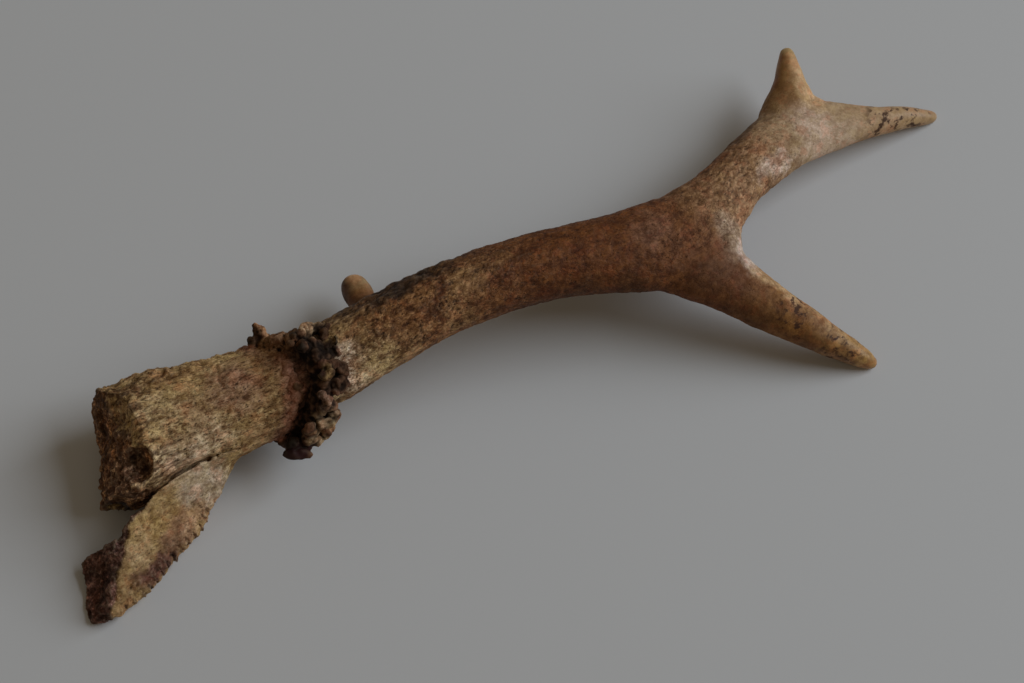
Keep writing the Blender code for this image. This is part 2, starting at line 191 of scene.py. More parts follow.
# Layers of relief: height, size of the lumps, or their size along, across and through, octaves, seed.
ANTLER_SWELLS = (0.40, (11, 9, 9), 2, 5)
ANTLER_GRAIN = (0.28, (7, 1.8, 1.8), 3, 17)
ANTLER_GRIT = (0.26, 2, 4, 31)
CREST_LUMPS = (0.9, (5.5, 3.2, 3.2), 3, 47)
UPPER_FURROWS = (0.60, (4.5, 1.9, 1.9), 3, 63)
PEARL_GRIT = (0.35, 2.2, 3, 3)
SKULL_SWELLS = (0.55, (13, 8, 8), 2, 3)
SKULL_FIBRES = (0.16, (6, 1.6, 1.6), 4, 19)
SKULL_GRIT = (0.26, (2.6, 1.6, 1.6), 4, 37)
RAGGED_EDGE = (0.95, 3.2, 4, 83)
BREAK_LUMPS = (0.9, 4.2, 4, 29)
RIM_UNEVENNESS = (0.6, 2.5, 2, 77)
SUTURE_TEETH = (0.55, (2.2, 2.2, 4), 4, 91)
# How far a surface stands out of its near and of its wider surroundings where it counts as a ridge.
FINE_STEP = 0.06
BROAD_STEP = 0.30

# The middle of the drying crack between the thick bone and the brow plate.
CRACK_LINE = [
    (-131.3, 20, 15),
    (-121.7, 18.6, 17.5),
    (-112.3, 19, 19.5),
    (-105.3, 19, 20.5),
    (-98.1, 18.5, 21),
    (-92.4, 17.6, 21.6),
]

# Pigments of bone and antler, and colours of painted shade, as linear colours.
GREY_CREAM = (0.66, 0.475, 0.30)
PINK_CREAM = (0.58, 0.41, 0.28)
CREAM_BONE = (0.54, 0.345, 0.150)
TAN = (0.46, 0.30, 0.165)
OCHRE = (0.33, 0.185, 0.075)
ORANGE = (0.40, 0.19, 0.065)
RUST = (0.175, 0.062, 0.018)
RED_BROWN = (0.155, 0.049, 0.0105)
WARM_BROWN = (0.265, 0.115, 0.040)
BROWN = (0.175, 0.080, 0.033)
DARK_BROWN = (0.085, 0.034, 0.013)
PURPLE_BROWN = (0.135, 0.050, 0.034)
BLACK_BROWN = (0.022, 0.010, 0.005)
DULL_TAN = (0.37, 0.195, 0.09)
AMBER = (0.25, 0.105, 0.026)
HORN = (0.37, 0.19, 0.060)
YELLOW_HORN = (0.43, 0.24, 0.085)
PALE_HORN = (0.64, 0.40, 0.20)
PINK_BROWN = (0.34, 0.175, 0.105)
BURR_BROWN = (0.18, 0.076, 0.036)
GRIME_BROWN = (0.34, 0.155, 0.090)
# Grime and painted shade in the band under the burr's overhang.
SHADE_BAND_BROWN = (0.078, 0.035, 0.019)
BREAK_BROWN = (0.160, 0.070, 0.028)
PLATE_BREAK_BROWN = (0.118, 0.051, 0.034)
# Painted shade: the dark in the hollow opening under the bone's lower edge.
HOLE_SHADE_GREY = (0.020, 0.021, 0.024)
DEEP_BROWN = (0.050, 0.020, 0.008)

# How dark and how light the mottling turns a pigment, as shares of it.
DARK_SHARE = (0.36, 0.26, 0.18, 1)
LIGHT_SHARE = (1.75, 1.95, 2.20, 1)
# How its patches turn a pigment redder or more olive, as shares of it.
REDDER_SHARE = (1.16, 0.93, 0.87, 1)
OLIVE_SHARE = (1.00, 0.985, 0.84, 1)
# How pale the walls of the spongy bone stand out in a break, as shares of its pigment.
FLECK_SHARE = (2.9, 3.2, 3.4, 1)
# The dark in pores and blotches.
ANTLER_PORE = (0.030, 0.013, 0.006, 1)
SKULL_PORE = (0.035, 0.017, 0.008, 1)
BLOTCH = (0.055, 0.020, 0.009, 1)
# How deep a bump of height 1 is.
BUMP_DEPTH = 0.25
# The grime round the burr's foot, and nearer the ring a dark band of grime and painted shade under the burr's
# overhang: pigment, and the distances past the ring where each starts and is full.
GRIME_AND_SHADE_BANDS = ((GRIME_BROWN, -11, -6), (SHADE_BAND_BROWN, -5.6, -3.2))

# Pigments along each branch, with their distance from its root.
MAIN_TINTS = [
    (0, BROWN),
    (28, CREAM_BONE),
    (42, OCHRE),
    (54, WARM_BROWN),
    (76, WARM_BROWN),
    (90, RUST),
    (108, RED_BROWN),
    (135, RED_BROWN),
    (150, RUST),
    (162, DULL_TAN),
    (185, DULL_TAN),
    (200, TAN),
    (208, (0.62, 0.42, 0.29)),
    (220, TAN),
    (236, (0.52, 0.33, 0.18)),
    (250, (0.46, 0.29, 0.15)),
]
FRONT_TINTS = [
    (0, RUST),
    (24, RUST),
    (36, AMBER),
    (48, AMBER),
    (58, HORN),
    (72, YELLOW_HORN),
]
REAR_TINTS = [(0, TAN), (10, OCHRE), (22, YELLOW_HORN), (34, (0.52, 0.34, 0.15))]
KNOB_TINTS = [(0, DARK_BROWN), (9, DARK_BROWN), (14, WARM_BROWN), (18, (0.36, 0.215, 0.095))]
# The branches off the main one: middle line, pigments and strength of the mottling.
BRANCHES = (
    (FRONT_LINE, FRONT_TINTS, 0.38),
    (REAR_LINE, REAR_TINTS, 0.24),
    (KNOB_LINE, KNOB_TINTS, 0.28),
)

# Stains, some of them painted highlights and painted shade where marked: pigment, middle, reach along x, y
# and z, strength.
ANTLER_STAINS_AND_PAINTED_LIGHT = [
    ((0.76, 0.55, 0.38), (-54.5, 16, 29), (7.5, 8, 9), 0.95),
    ((0.60, 0.41, 0.20), (-47, 15, 28), (8, 6, 8), 0.6),
    (OCHRE, (-47, 21, 32), (8, 7, 8), 0.6),
    (ORANGE, (-42, 25, 33.5), (4, 3.5, 4), 0.5),
    (CREAM_BONE, (-44, 15, 27), (12, 5, 8), 0.45),
    (BLACK_BROWN, (-36, 34.5, 29), (17, 5, 8), 0.6),
    (BLACK_BROWN, (-22, 32, 31), (14, 4, 6), 0.55),
    (BLACK_BROWN, (-31, 29, 34), (12, 2.8, 5), 0.7),
    (BLACK_BROWN, (-57.5, 27, 31.5), (3.5, 4.5, 4), 0.9),
    (OCHRE, (-13, 22, 36), (7, 6, 6), 0.40),
    (OCHRE, (-20, 14, 31), (5, 5, 8), 0.45),
    (OCHRE, (-2, 22, 36), (5, 4, 5), 0.25),
    (DARK_BROWN, (-2, 4.5, 24), (22, 4.5, 10), 0.7),
    (DARK_BROWN, (36, -2, 22), (16, 6, 10), 0.6),
    (PINK_BROWN, (46, 8, 33), (8, 7, 6), 0.30),
    (DARK_BROWN, (53, -12, 26), (9, 6, 8), 0.5),
    ((0.44, 0.305, 0.205), (66, -5.5, 25), (5, 8, 10), 0.65),
    (DULL_TAN, (72, 5, 24), (9, 5, 9), 0.4),
    (RED_BROWN, (72, 19, 24), (12, 5, 8), 0.55),
    (DARK_BROWN, (88, 26, 16), (14, 5, 9), 0.7),
    (PINK_CREAM, (114, 10.5, 15), (13, 6, 8), 0.6),
    # A painted highlight along the upper beam's lit edge.
    ((0.74, 0.55, 0.42), (93, 9, 22), (11, 3.2, 4.5), 0.65),
    ((0.70, 0.52, 0.38), (112, 18, 19), (7, 5, 5), 0.35),
    # Painted highlights on the front tine's lit upper edge.
    ((0.80, 0.62, 0.50), (66.6, -12.5, 22.5), (2.6, 7, 5), 0.7),
    (PALE_HORN, (67.8, -19, 20.8), (2.6, 5, 5), 0.6),
    (BLACK_BROWN, (-21, 29.5, 34), (16, 3, 5), 0.45),
    (DARK_BROWN, (17, 2.5, 26.5), (11, 4, 6), 0.45),
    (DARK_BROWN, (56, -23, 20.5), (6, 6, 6), 0.4),
    (DARK_BROWN, (61, -30, 17), (5, 6, 6), 0.45),
    # The rear tine: its own orange and brown, deepened down its left side as painted shade, and a painted
    # highlight down its right side.
    (ORANGE, (113, 39, 15), (4, 7, 6), 0.8),
    (PALE_HORN, (118.5, 30.5, 18), (4, 10, 6), 0.95),
    (BROWN, (109.5, 31, 18), (3, 8, 6), 0.35),
    (WARM_BROWN, (112.6, 30.5, 20), (2.4, 8, 5), 0.5),
    (WARM_BROWN, (115.8, 38.5, 18.5), (2, 7, 5), 0.6),
    # Painted highlights along the front tine's lit upper edge.
    (PALE_HORN, (70.6, -22.5, 19), (3.4, 4.5, 5), 0.7),
    (PALE_HORN, (73.4, -28, 17), (3.4, 4.5, 5), 0.7),
    (PALE_HORN, (76.5, -34, 14), (3.2, 4.5, 5), 0.45),
    (PALE_HORN, (80, -41, 11), (3, 4.5, 5), 0.45),
    (DARK_BROWN, (70, -43, 10.5), (5, 6, 6), 0.5),
    (BROWN, (76.5, -50, 7), (5, 5, 5), 0.55),
    # The rear tine's own brown at its foot, deepened down its left side as painted shade.
    (WARM_BROWN, (110.5, 40, 15), (3.2, 9, 6), 0.65),
    (BROWN, (104.5, 28, 12), (6, 7, 8), 0.5),
]
# Painted shade down the knob's left side and a painted highlight on its right, with clean borders.
KNOB_PAINTED_LIGHT_AND_SHADE = [
    (DARK_BROWN, (-41.2, 47.5, 14), (3.4, 7, 6), 0.9),
    (PALE_HORN, (-35.8, 50, 17), (3, 3.2, 4), 0.7),
]
SKULL_STAINS = [
    (RUST, (-76, 28, 28), (8, 20, 16), 0.45),
    (PINK_BROWN, (-86, 31, 30), (8, 8, 6), 0.75),
    (PINK_BROWN, (-99, 30, 29), (6, 5, 5), 0.4),
    (OCHRE, (-94, 36, 29), (9, 5, 5), 0.25),
    ((0.50, 0.26, 0.10), (-98, 43, 27), (10, 5, 5), 0.5),
    (OCHRE, (-104, 46, 27), (14, 5, 8), 0.5),
    (GREY_CREAM, (-106, 22, 24), (16, 6, 9), 0.6),
    (DULL_TAN, (-86.5, 16.5, 20), (9, 4.5, 6), 0.45),
    ((0.64, 0.475, 0.32), (-108, 14, 13), (10, 7, 9), 0.95),
    ((0.53, 0.33, 0.125), (-126, 10, 13), (10, 6, 7), 0.8),
    (GREY_CREAM, (-134, 9, 12), (7, 5, 6), 0.3),
    ((0.52, 0.28, 0.13), (-114, 9, 9.5), (9, 4, 5), 0.8),
    (PINK_BROWN, (-121, 7.5, 9), (7, 3.5, 5), 0.6),
    (OCHRE, (-142, 2, 8), (7, 6, 6), 0.6),
    (PURPLE_BROWN, (-130.5, 2, 7), (8, 4, 6), 0.95),
    (PURPLE_BROWN, (-122, 5.5, 7), (5, 3, 5), 0.5),
    (OCHRE, (-105, 25.5, 27.5), (8, 3, 4), 0.45),
    ((0.66, 0.45, 0.24), (-109, 36, 30.5), (7, 6, 5), 0.5),
    ((0.76, 0.56, 0.37), (-108, 20.5, 23.5), (7, 3, 4), 0.5),
    ((0.62, 0.37, 0.20), (-116.5, 7, 8), (5, 3, 4), 0.65),
]
BREAK_STAINS_AND_PAINTED_SHADE = [
    ((0.23, 0.120, 0.065), (-127, 27.5, 20), (7, 7, 7), 0.75),
    ((0.34, 0.225, 0.145), (-118.5, 42, 25.5), (5, 7, 5), 0.6),
    ((0.14, 0.095, 0.066), (-119.5, 27, 21.5), (5, 5, 6), 0.7),
    # Painted shade in the hollow opening under the lower edge of the break.
    (HOLE_SHADE_GREY, (-130.5, 24.5, 8.5), (4.5, 4, 3.5), 0.9),
]
# Stains on the burr's crags; the black under the overhanging top crag is painted shade.
BURR_STAINS_AND_PAINTED_SHADE = [
    (TAN, (-58.5, 34.5, 32), (4.5, 4, 4), 0.95),
    (DEEP_BROWN, (-54.5, 31, 30.5), (4.5, 3.5, 4), 0.85),
    (OCHRE, (-51.5, 33.5, 26), (3, 3, 3), 0.5),
    (PINK_BROWN, (-54.2, 23.5, 31.8), (3.5, 4, 4), 0.9),
    (PURPLE_BROWN, (-61.3, 19.3, 36), (3, 1.6, 3), 0.8),
    ((0.34, 0.215, 0.085), (-62.5, 16.9, 36), (2.8, 1.9, 3), 0.95),
    # Painted shade in the hollow under the overhanging top crag.
    (BLACK_BROWN, (-58.2, 25, 33), (4.4, 4.8, 4.2), 1),
    (BURR_BROWN, (-59, 16, 31), (4, 4, 4), 0.7),
    ((0.44, 0.25, 0.16), (-65.3, 12.3, 31), (3, 3, 4), 0.8),
    (DEEP_BROWN, (-58.5, 16.6, 31.5), (5.5, 5.5, 6.5), 0.7),
    (TAN, (-67.5, 9, 23.5), (4, 3.5, 4), 0.8),
    (DULL_TAN, (-66.5, 9.5, 18), (3.5, 3.5, 4), 0.8),
    (DULL_TAN, (-73.3, 9.3, 24.5), (2.2, 2.2, 2.2), 0.7),
    (TAN, (-73, 8.2, 17), (3.5, 3.5, 3.5), 0.8),
    (TAN, (-69.5, 9.5, 13), (3, 3, 3), 0.8),
]
# Stains over the crust's lowest parts as well, and on the rear spike painted shade about its tip and left
# face and a painted highlight on its right face.
CREST_STAINS_AND_PAINTED_LIGHT = [
    ((0.28, 0.145, 0.062), (-71, 37.2, 27), (5, 4.5, 4), 0.85),
    (BROWN, (-67.5, 33.5, 30.5), (5, 4, 4), 0.5),
    # The rear spike: painted shade on its tip and left face, a painted highlight on its right face.
    (DEEP_BROWN, (-72.2, 42.8, 27.8), (3, 2.6, 3.5), 0.9),
    ((0.46, 0.23, 0.11), (-70, 44.4, 28.4), (1.3, 2.4, 2.2), 0.9),
    ((0.46, 0.23, 0.11), (-68.9, 41.8, 28), (1.5, 2.2, 2.2), 0.95),
    (DEEP_BROWN, (-72.1, 42.8, 28), (2.6, 2.6, 3), 0.95),
    ((0.30, 0.155, 0.080), (-67.4, 36.2, 30.5), (3.6, 3.8, 4), 0.85),
    (BURR_BROWN, (-73.7, 8.8, 27.2), (2.2, 2.2, 2.2), 0.75),
    (BROWN, (-66, 30.5, 37), (2.4, 2.4, 2.4), 0.6),
    (BROWN, (-70.7, 20.4, 30.5), (1.6, 1.6, 1.6), 0.7),
    ((0.032, 0.010, 0.010), (-79, 8, 15.5), (6, 3.2, 3), 0.95),
]
# The border between the broken face and the natural bone that laps over it: y, x and z along it.
FACE_BORDER = [
    (14, -131, 18),
    (17, -127.5, 20),
    (19.5, -123, 23.2),
    (24.5, -118.2, 24),
    (28, -117, 25.8),
    (31, -118.8, 26.5),
    (34.5, -117.8, 27.6),
    (38.5, -117.2, 23.5),
    (41.8, -117.2, 20.5),
    (45.5, -117.4, 22.5),
    (50, -118, 25),
]
# Along the main branch: distance from its root, strength of the mottling there, share of lengthwise grain.
MAIN_SURFACE = [
    (20, 1, 0.8),
    (70, 1, 0.8),
    (100, 0.75, 0.6),
    (128, 0.60, 0.3),
    (150, 0.65, 0),
    (165, 0.75, 0.4),
    (185, 0.70, 0.5),
    (200, 0.38, 0.2),
    (225, 0.24, 0),
    (250, 0.16, 0),
]
# Places where the tines' polished horn keeps dark blotches: place, reach along x, y and z.
BLOTCHED = [
    ((79, -47, 9), (7, 7, 9)),
    ((141, 9.5, 9), (14, 8, 9)),
    ((70, -33, 15), (6, 7, 9)),
]
# The crusted stretch along the beam's upper rear side: place, reach.
CREST = ((-30, 33, 30.5), (24, 6.5, 8))
# Lumps and chips of the skull piece: place, reach, height.
SKULL_LUMPS = [
    ((-105, 49.5, 24.5), 9, 1.3),
    ((-99.8, 47, 25.1), 1.6, 0.8),
    ((-103, 47.8, 25.5), 1.3, -0.7),
    ((-97, 46.5, 25.3), 1.5, -0.6),
    ((-116, 51, 25), 7, -1.3),
    ((-110, 52, 22), 3, 0.7),
    ((-88, 43.5, 25.4), 2.5, 0.5),
]
# Grooves of the skull piece: line, half width, depth.
SKULL_GROOVES = [
    ([(-86.8, 40.3, 27.4), (-87.7, 37.5, 28.5), (-89.2, 34.5, 29.4), (-88.4, 31, 29.7)], 1, 0.35),
    (CRACK_LINE, 0.75, 1.3),
]
# The nutrient hole's rim beside the crack: its middle and half its width.
RIM_PLACE = (-123, 13.8, 15.3)
RIM_HALF_WIDTH = 1.9
# The hollow in the broken face: place, reach.
FACE_HOLLOW = ((-119.5, 27, 21.5), (5.2, 4.6, 4.4))
# Sharp corners between branches that are filled to a soft valley: place, reach, height, and in how
# many steps.
CROTCHES = [((120.5, 28, 13.5), 5, 1.6)]
FILL_STEPS = 8
# The brow plate is broken where x - y is under this.
PLATE_BREAK = -146.0
# The rear spike's stations, given as the pearls are.
REAR_SPIKE = [
    (6, -0.6, 3.9, 3),
    (8, 1.8, 4, 2.5),
    (9, 3.8, 4.4, 1.9),
    (9.6, 5.4, 4.8, 1.3),
    (10, 6.7, 5.1, 0.8),
]
# Small lumps that join the spike to the pedicle's upper edge: place, size.
REAR_FOOT = [((-73.8, 41.8, 25.6), 1.2), ((-74.9, 41.4, 24.8), 1.1), ((-76.2, 41, 24.2), 0.9)]
# The crust on the pedicle's end: how far each row lies behind the ring, and the lumps in a row.
CRUST_ROWS = (2.2, 3, 3.8, 4.6, 5.4)
CRUST_COUNT = 56
# The flat dark pearl at the burr's front: its two ends, its half width and its half height.
FLAT_PEARL = ((-82.6, 9.3, 15.9), (-75.4, 5.6, 15.3), 2, 1.8)

# The camera's aim in the frame, its distance, and the ways back to it and to its right.
AIM = Vector((-6.7, 4.9, 16))
DISTANCE = 700.0
VIEW_BACK = Vector((-0.2258, -0.3572, 0.9063))
VIEW_RIGHT = Vector((0.8453, -0.5344, 0))
PICTURE_WIDTH = 1024
FOCUS_PIXELS = 2333.33
SENSOR = 36.0
# The floor, in metres.
FLOOR_HALF_WIDTH = 1.6
FLOOR_GREY = (0.665, 0.665, 0.67, 1)


def smooth_step(values, low, high):
    """0 below low, 1 above high and a soft rise between."""
    t = np.clip((values - low) / (high - low), 0.0, 1.0)
    return t * t * (3 - 2 * t)


class Line:
    """A branch's middle line, filled in between its stations about every millimetre."""

    def __init__(self, stations):
        rows = np.array(stations, float)
        made = []
        for i in range(len(rows) - 1):
            before, here = rows[max(i - 1, 0)], rows[i]
            there, after = rows[i + 1], rows[min(i + 2, len(rows) - 1)]
            steps = max(1, round(np.linalg.norm(there[:3] - here[:3])))
            for t in np.arange(steps)[:, None] / steps:
                bend = (2 * before - 5 * here + 4 * there - after) * t**2
                twist = (3 * here - before - 3 * there + after) * t**3
                made.append(0.5 * (2 * here + (there - before) * t + bend + twist))
        made = np.array(made + [rows[-1]])
        self.places, self.half_widths = made[:, :3], made[:, 3]
        along = np.gradient(self.places, axis=0)
        self.along = along / np.linalg.norm(along, axis=1)[:, None]
        across = np.cross((0.0, 0.0, 1.0), self.along)
        self.across = across / np.linalg.norm(across, axis=1)[:, None]
        self.through = np.cross(self.along, self.across)
        gaps = np.linalg.norm(np.diff(self.places, axis=0), axis=1)
        self.run = np.concatenate([[0.0], np.cumsum(gaps)])

    def nearest(self, points):
        """For each point the nearest place on the line, by its index."""
        tree = KDTree(len(self.places))
        for i, place in enumerate(self.places):
            tree.insert(place, i)
        tree.balance()
        return np.array([tree.find(p)[1] for p in points])

    def measure(self, points):
        """Each point straightened out to (run, across, through), and its distance in half widths."""
        at = self.nearest(points)
        off = points - self.places[at]
        along, across, through = (
            np.einsum("ij,ij->i", off, way[at]) for way in (self.along, self.across, self.through)
        )
        straight = np.stack([self.run[at] + along, across, through], axis=1)
        return straight, np.linalg.norm(off, axis=1) / self.half_widths[at]


class Skin:
    """A fine closed mesh, held as arrays in millimetres while its surface is worked."""

    def __init__(self, mesh):
        self.mesh = mesh
        self.read()

    def read(self):
        """Takes the points and the ends of the edges from the mesh."""
        self.points = np.empty(len(self.mesh.vertices) * 3)
        self.mesh.vertices.foreach_get("co", self.points)
        self.points = self.points.reshape(-1, 3) / MM
        edges = np.empty(len(self.mesh.edges) * 2, np.int32)
        self.mesh.edges.foreach_get("vertices", edges)
        edges = edges.reshape(-1, 2)
        self.ends = np.concatenate([edges, edges[:, ::-1]])
        self.degree = np.bincount(self.ends[:, 0], minlength=len(self.points)).astype(float)

    def keep_largest(self):
        """Drops every part that isn't joined to the largest one."""
        marks = np.arange(len(self.points))
        first, second = self.ends.T
        while np.any(marks[first] != marks[second]):
            np.minimum.at(marks, first, marks[second])
            marks = marks[marks]
        loose = marks != np.bincount(marks).argmax()
        bm = bmesh.new()
        bm.from_mesh(self.mesh)
        bm.verts.ensure_lookup_table()
        bmesh.ops.delete(bm, geom=[bm.verts[i] for i in np.flatnonzero(loose)], context="VERTS")
        bm.to_mesh(self.mesh)
        bm.free()
        self.read()

    def neighbour_mean(self, values):
        """For each point the mean of its neighbours' values."""
        if values.ndim == 2:
            return np.stack([self.neighbour_mean(column) for column in values.T], axis=1)
        total = np.bincount(self.ends[:, 0], values[self.ends[:, 1]], minlength=len(values))
        return total / self.degree

    def blurred(self, values, times):
        for _ in range(times):
            values = 0.5 * (values + self.neighbour_mean(values))
        return values

    def relax(self, pull, share=1.0):
        """Draws each point towards the middle of its neighbours."""
        share = np.broadcast_to(share, len(self.points))[:, None]
        self.points += share * pull * (self.neighbour_mean(self.points) - self.points)

    def even_out(self, times, share=1.0):
        """Smooths bumps shorter than about times voxels without thinning the form."""
        for _ in range(times):
            for pull in (0.5, -0.52):
                self.relax(pull, share)

    def normals(self):
        self.store()
        found = np.empty(len(self.points) * 3, np.float32)
        self.mesh.vertex_normals.foreach_get("vector", found)
        return found.reshape(-1, 3).astype(float)

    def push(self, distances):
        """Moves each point along its normal."""
        self.points += self.normals() * np.broadcast_to(distances, len(self.points))[:, None]

    def relief(self, reach):
        """How far each point stands out from the form around it, in millimetres."""
        return np.einsum("ij,ij->i", self.points - self.blurred(self.points, reach), self.normals())

    def store(self):
        self.mesh.vertices.foreach_set("co", (self.points * MM).astype(np.float32).ravel())
        self.mesh.update()

    def keep_in_box(self):
        """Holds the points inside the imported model's box."""
        low, high = (np.array(corner) / MM for corner in CAD_BOX)
        self.points = np.clip(self.points, low, high)
        self.store()

    def record(self, **fields):
        """Stores each field's values on the mesh, for its material to read."""
        for name, values in fields.items():
            kind, part = ("FLOAT_VECTOR", "vector") if np.ndim(values) == 2 else ("FLOAT", "value")
            if name == "tint":
                kind, part = ("FLOAT_COLOR", "color")
                values = np.concatenate([values, np.ones((len(values), 1))], axis=1)
            if np.ndim(values) == 0:
                values = np.full(len(self.points), values)
            attribute = self.mesh.attributes.new(name, kind, "POINT")
            attribute.data.foreach_set(part, values.astype(np.float32).ravel())

    def record_relief(self, fine, broad):
        """Stores the hollows, darkened as dirt and painted shade, and the ridges that handling rubs pale."""
        stands = self.relief(fine) / FINE_STEP + self.relief(broad) / BROAD_STEP
        self.record(hollow=smooth_step(-stands, 0.15, 2.2), ridge=smooth_step(stands, 0.35, 2.4))


def unevenness(places, size, octaves=3, seed=0.0):
    """Fractal noise of about -1 to 1 at each place, whose lumps are about size across."""
    scaled = places / np.asarray(size) + seed
    return np.array([noise.fractal(p, 1.0, 2.0, octaves) for p in scaled])


def layer(places, values):
    """One layer of relief: its height times an unevenness of its size, octaves and seed."""
    height, size, octaves, seed = values
    return height * unevenness(places, size, octaves, seed)


def cells(places, size, seed=0.0):
    """0 at the middle of each random cell of about that size, rising to about 1 at its walls."""
    scaled = places / np.asarray(size) + seed
    return np.array([noise.voronoi(p)[0][0] for p in scaled])


def pits(places, size, seed, width):
    """1 at the middle of small pits of about that size, falling to 0 at their rims."""
    return smooth_step(-cells(places, size, seed), -width, -0.10)


def near(points, place, reach, wander=0.0):
    """1 around the place, falling to 0 at its reach along x, y and z; wander frays the border."""
    offset = (points - place) / reach
    return smooth_step(-(np.linalg.norm(offset, axis=1) + wander), -1.25, -0.75)


def dome(points, place, reach):
    """1 at the place, falling along a curve to 0 at its reach, and the distance in reaches."""
    gap = np.linalg.norm(points - place, axis=1) / reach
    return np.clip(1 - gap**2, 0, 1), gap


def laid_over(colours, pigment, share):
    """The colours with the pigment laid over them by the share."""
    return colours + share[:, None] * (np.asarray(pigment) - colours)


def tints_along(run, tints):
    """The pigment at each distance along a branch."""
    marks, pigments = zip(*tints)
    return np.stack([np.interp(run, marks, channel) for channel in zip(*pigments)], axis=1)


def patched(colours, points, patch_list, raggedness=1.0):
    """The colours with the patches laid over them, with ragged edges: stains, and painted highlights and
    shade where a list holds them.
    """
    wander = np.stack([unevenness(points, 6.0, 4, seed) for seed in (3.1, 11.7, 23.9)], axis=1)
    for pigment, place, reach, strength in patch_list:
        gap = np.linalg.norm((points + 3.0 * raggedness * wander - place) / reach, axis=1)
        colours = laid_over(colours, pigment, strength * smooth_step(-gap, -1.35, -0.55))
    return colours


def burr_way():
    """The way out of the burr's ring towards the tips."""
    return Matrix.Rotation(BURR_LEAN, 3, "Y") @ Vector((1, 0, 0))


def past_burr(points):
    """How far each point lies beyond the burr's ring, towards the tips."""
    return (points - np.array(BURR_MIDDLE)) @ np.array(burr_way())


def ring_wander(points):
    """An unevenness that frays the borders near the burr alike on all three pieces."""
    return unevenness(points, 4.0, 3, 41.0)


def grimed_and_shaded(tint, points, wander):
    """The tint with the bands of grime on both sides of the burr's foot laid over it, the nearer band dark
    with painted shade as well.
    """
    beyond = past_burr(points) + 1.5 * wander
    for pigment, start, end in GRIME_AND_SHADE_BANDS:
        tint = laid_over(tint, pigment, smooth_step(beyond, start, end))
    return tint


def linked(name, data):
    """A new object of that data, in the scene."""
    made = bpy.data.objects.new(name, data)
    bpy.context.scene.collection.objects.link(made)
    return made


def object_of(name, bm):
    mesh = bpy.data.meshes.new(name)
    bm.to_mesh(mesh)
    bm.free()
    return linked(name, mesh)


def packed_copy(name, nodes):
    """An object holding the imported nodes' meshes with their doubles merged."""
    bm = bmesh.new()
    for node in nodes:
        bm.from_mesh(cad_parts[node].data)
    bmesh.ops.remove_doubles(bm, verts=bm.verts[:], dist=1e-6)
    return object_of(name, bm)


def packed_surface(obj):
    """A search tree of the object's faces, and one of the points along its sharp edges."""
    bm = bmesh.new()
    bm.from_mesh(obj.data)
    faces = BVHTree.FromBMesh(bm)
    sharp = [e for e in bm.edges if len(e.link_faces) == 2 and e.calc_face_angle() > SHARP_ANGLE]
    spots = []
    for edge in sharp:
        a, b = (v.co for v in edge.verts)
        steps = max(1, math.ceil(edge.calc_length() / (0.6 * MM)))
        spots += [a.lerp(b, i / steps) for i in range(steps + 1)]
    edges = KDTree(len(spots))
    for i, spot in enumerate(spots):
        edges.insert(spot, i)
    edges.balance()
    bm.free()
    return faces, edges


def fused(rough, name, voxel):
    """The object's shapes, with its modifiers, grown together in one even fine skin."""
    fuse = rough.modifiers.new("fuse", "REMESH")
    fuse.mode = "VOXEL"
    fuse.voxel_size = voxel * MM
    bpy.context.view_layer.update()
    graph = bpy.context.evaluated_depsgraph_get()
    mesh = bpy.data.meshes.new_from_object(rough.evaluated_get(graph))
    bpy.data.objects.remove(rough)
    mesh.name = name
    return Skin(mesh)


def piece_of(skin, name, material, nodes):
    """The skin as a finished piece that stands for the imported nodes."""
    skin.keep_in_box()
    skin.mesh.shade_smooth()
    skin.mesh.materials.clear()
    skin.mesh.materials.append(material)
    made = linked(name, skin.mesh)
    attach(made, "root")
    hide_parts(*nodes)
    return made


def slim_foot(skin, main):
    """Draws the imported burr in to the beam's own width, because the crust stands in its place."""
    at_foot = smooth_step(-past_burr(skin.points), -BURR_REACH, -BURR_REACH + 4.0)
    _, gap = main.measure(skin.points)
    squeeze = np.minimum(1.0, 1.0 / np.maximum(gap, 1e-6)) ** at_foot
    middles = main.places[main.nearest(skin.points)]
    skin.points = middles + (skin.points - middles) * squeeze[:, None]


def fill_crotches(skin):
    """Fills the sharp corners between branches to soft valleys."""
    for place, reach, height in CROTCHES:
        share = smooth_step(-np.linalg.norm(skin.points - place, axis=1), -reach, -0.3 * reach)
        for _ in range(FILL_STEPS):
            skin.push(height / FILL_STEPS * share)
            for _ in range(6):
                skin.relax(0.5, share)


def antler_pattern(points, place, gap, wander):
    """Pigment, strength of the mottling and share of the grain, as they change along each branch."""
    run = place[:, 0]
    marks, strengths, shares = zip(*MAIN_SURFACE)
    mottled, grain = np.interp(run, marks, strengths), np.interp(run, marks, shares)
    tint = tints_along(run, MAIN_TINTS)
    for stations, tints, strength in BRANCHES:
        branch, branch_gap = Line(stations).measure(points)
        share = smooth_step(gap - branch_gap + wander, -0.15, 0.45)
        tint = laid_over(tint, tints_along(branch[:, 0], tints), share)
        mottled = mottled + share * (strength - mottled)
        grain = grain * (1 - share)
    return tint, mottled, grain


def antler_polish(points):
    """How far handling has polished the tines and the knob."""
    x, y, _ = points.T
    top, front = smooth_step(x, 118, 150), smooth_step(-y, 14, 54)
    rear = smooth_step(y, 30, 38) * (x > 90)
    knob = 0.7 * smooth_step(y, 36, 42) * (x < 0)
    return np.max([top, front, rear, knob], axis=0)


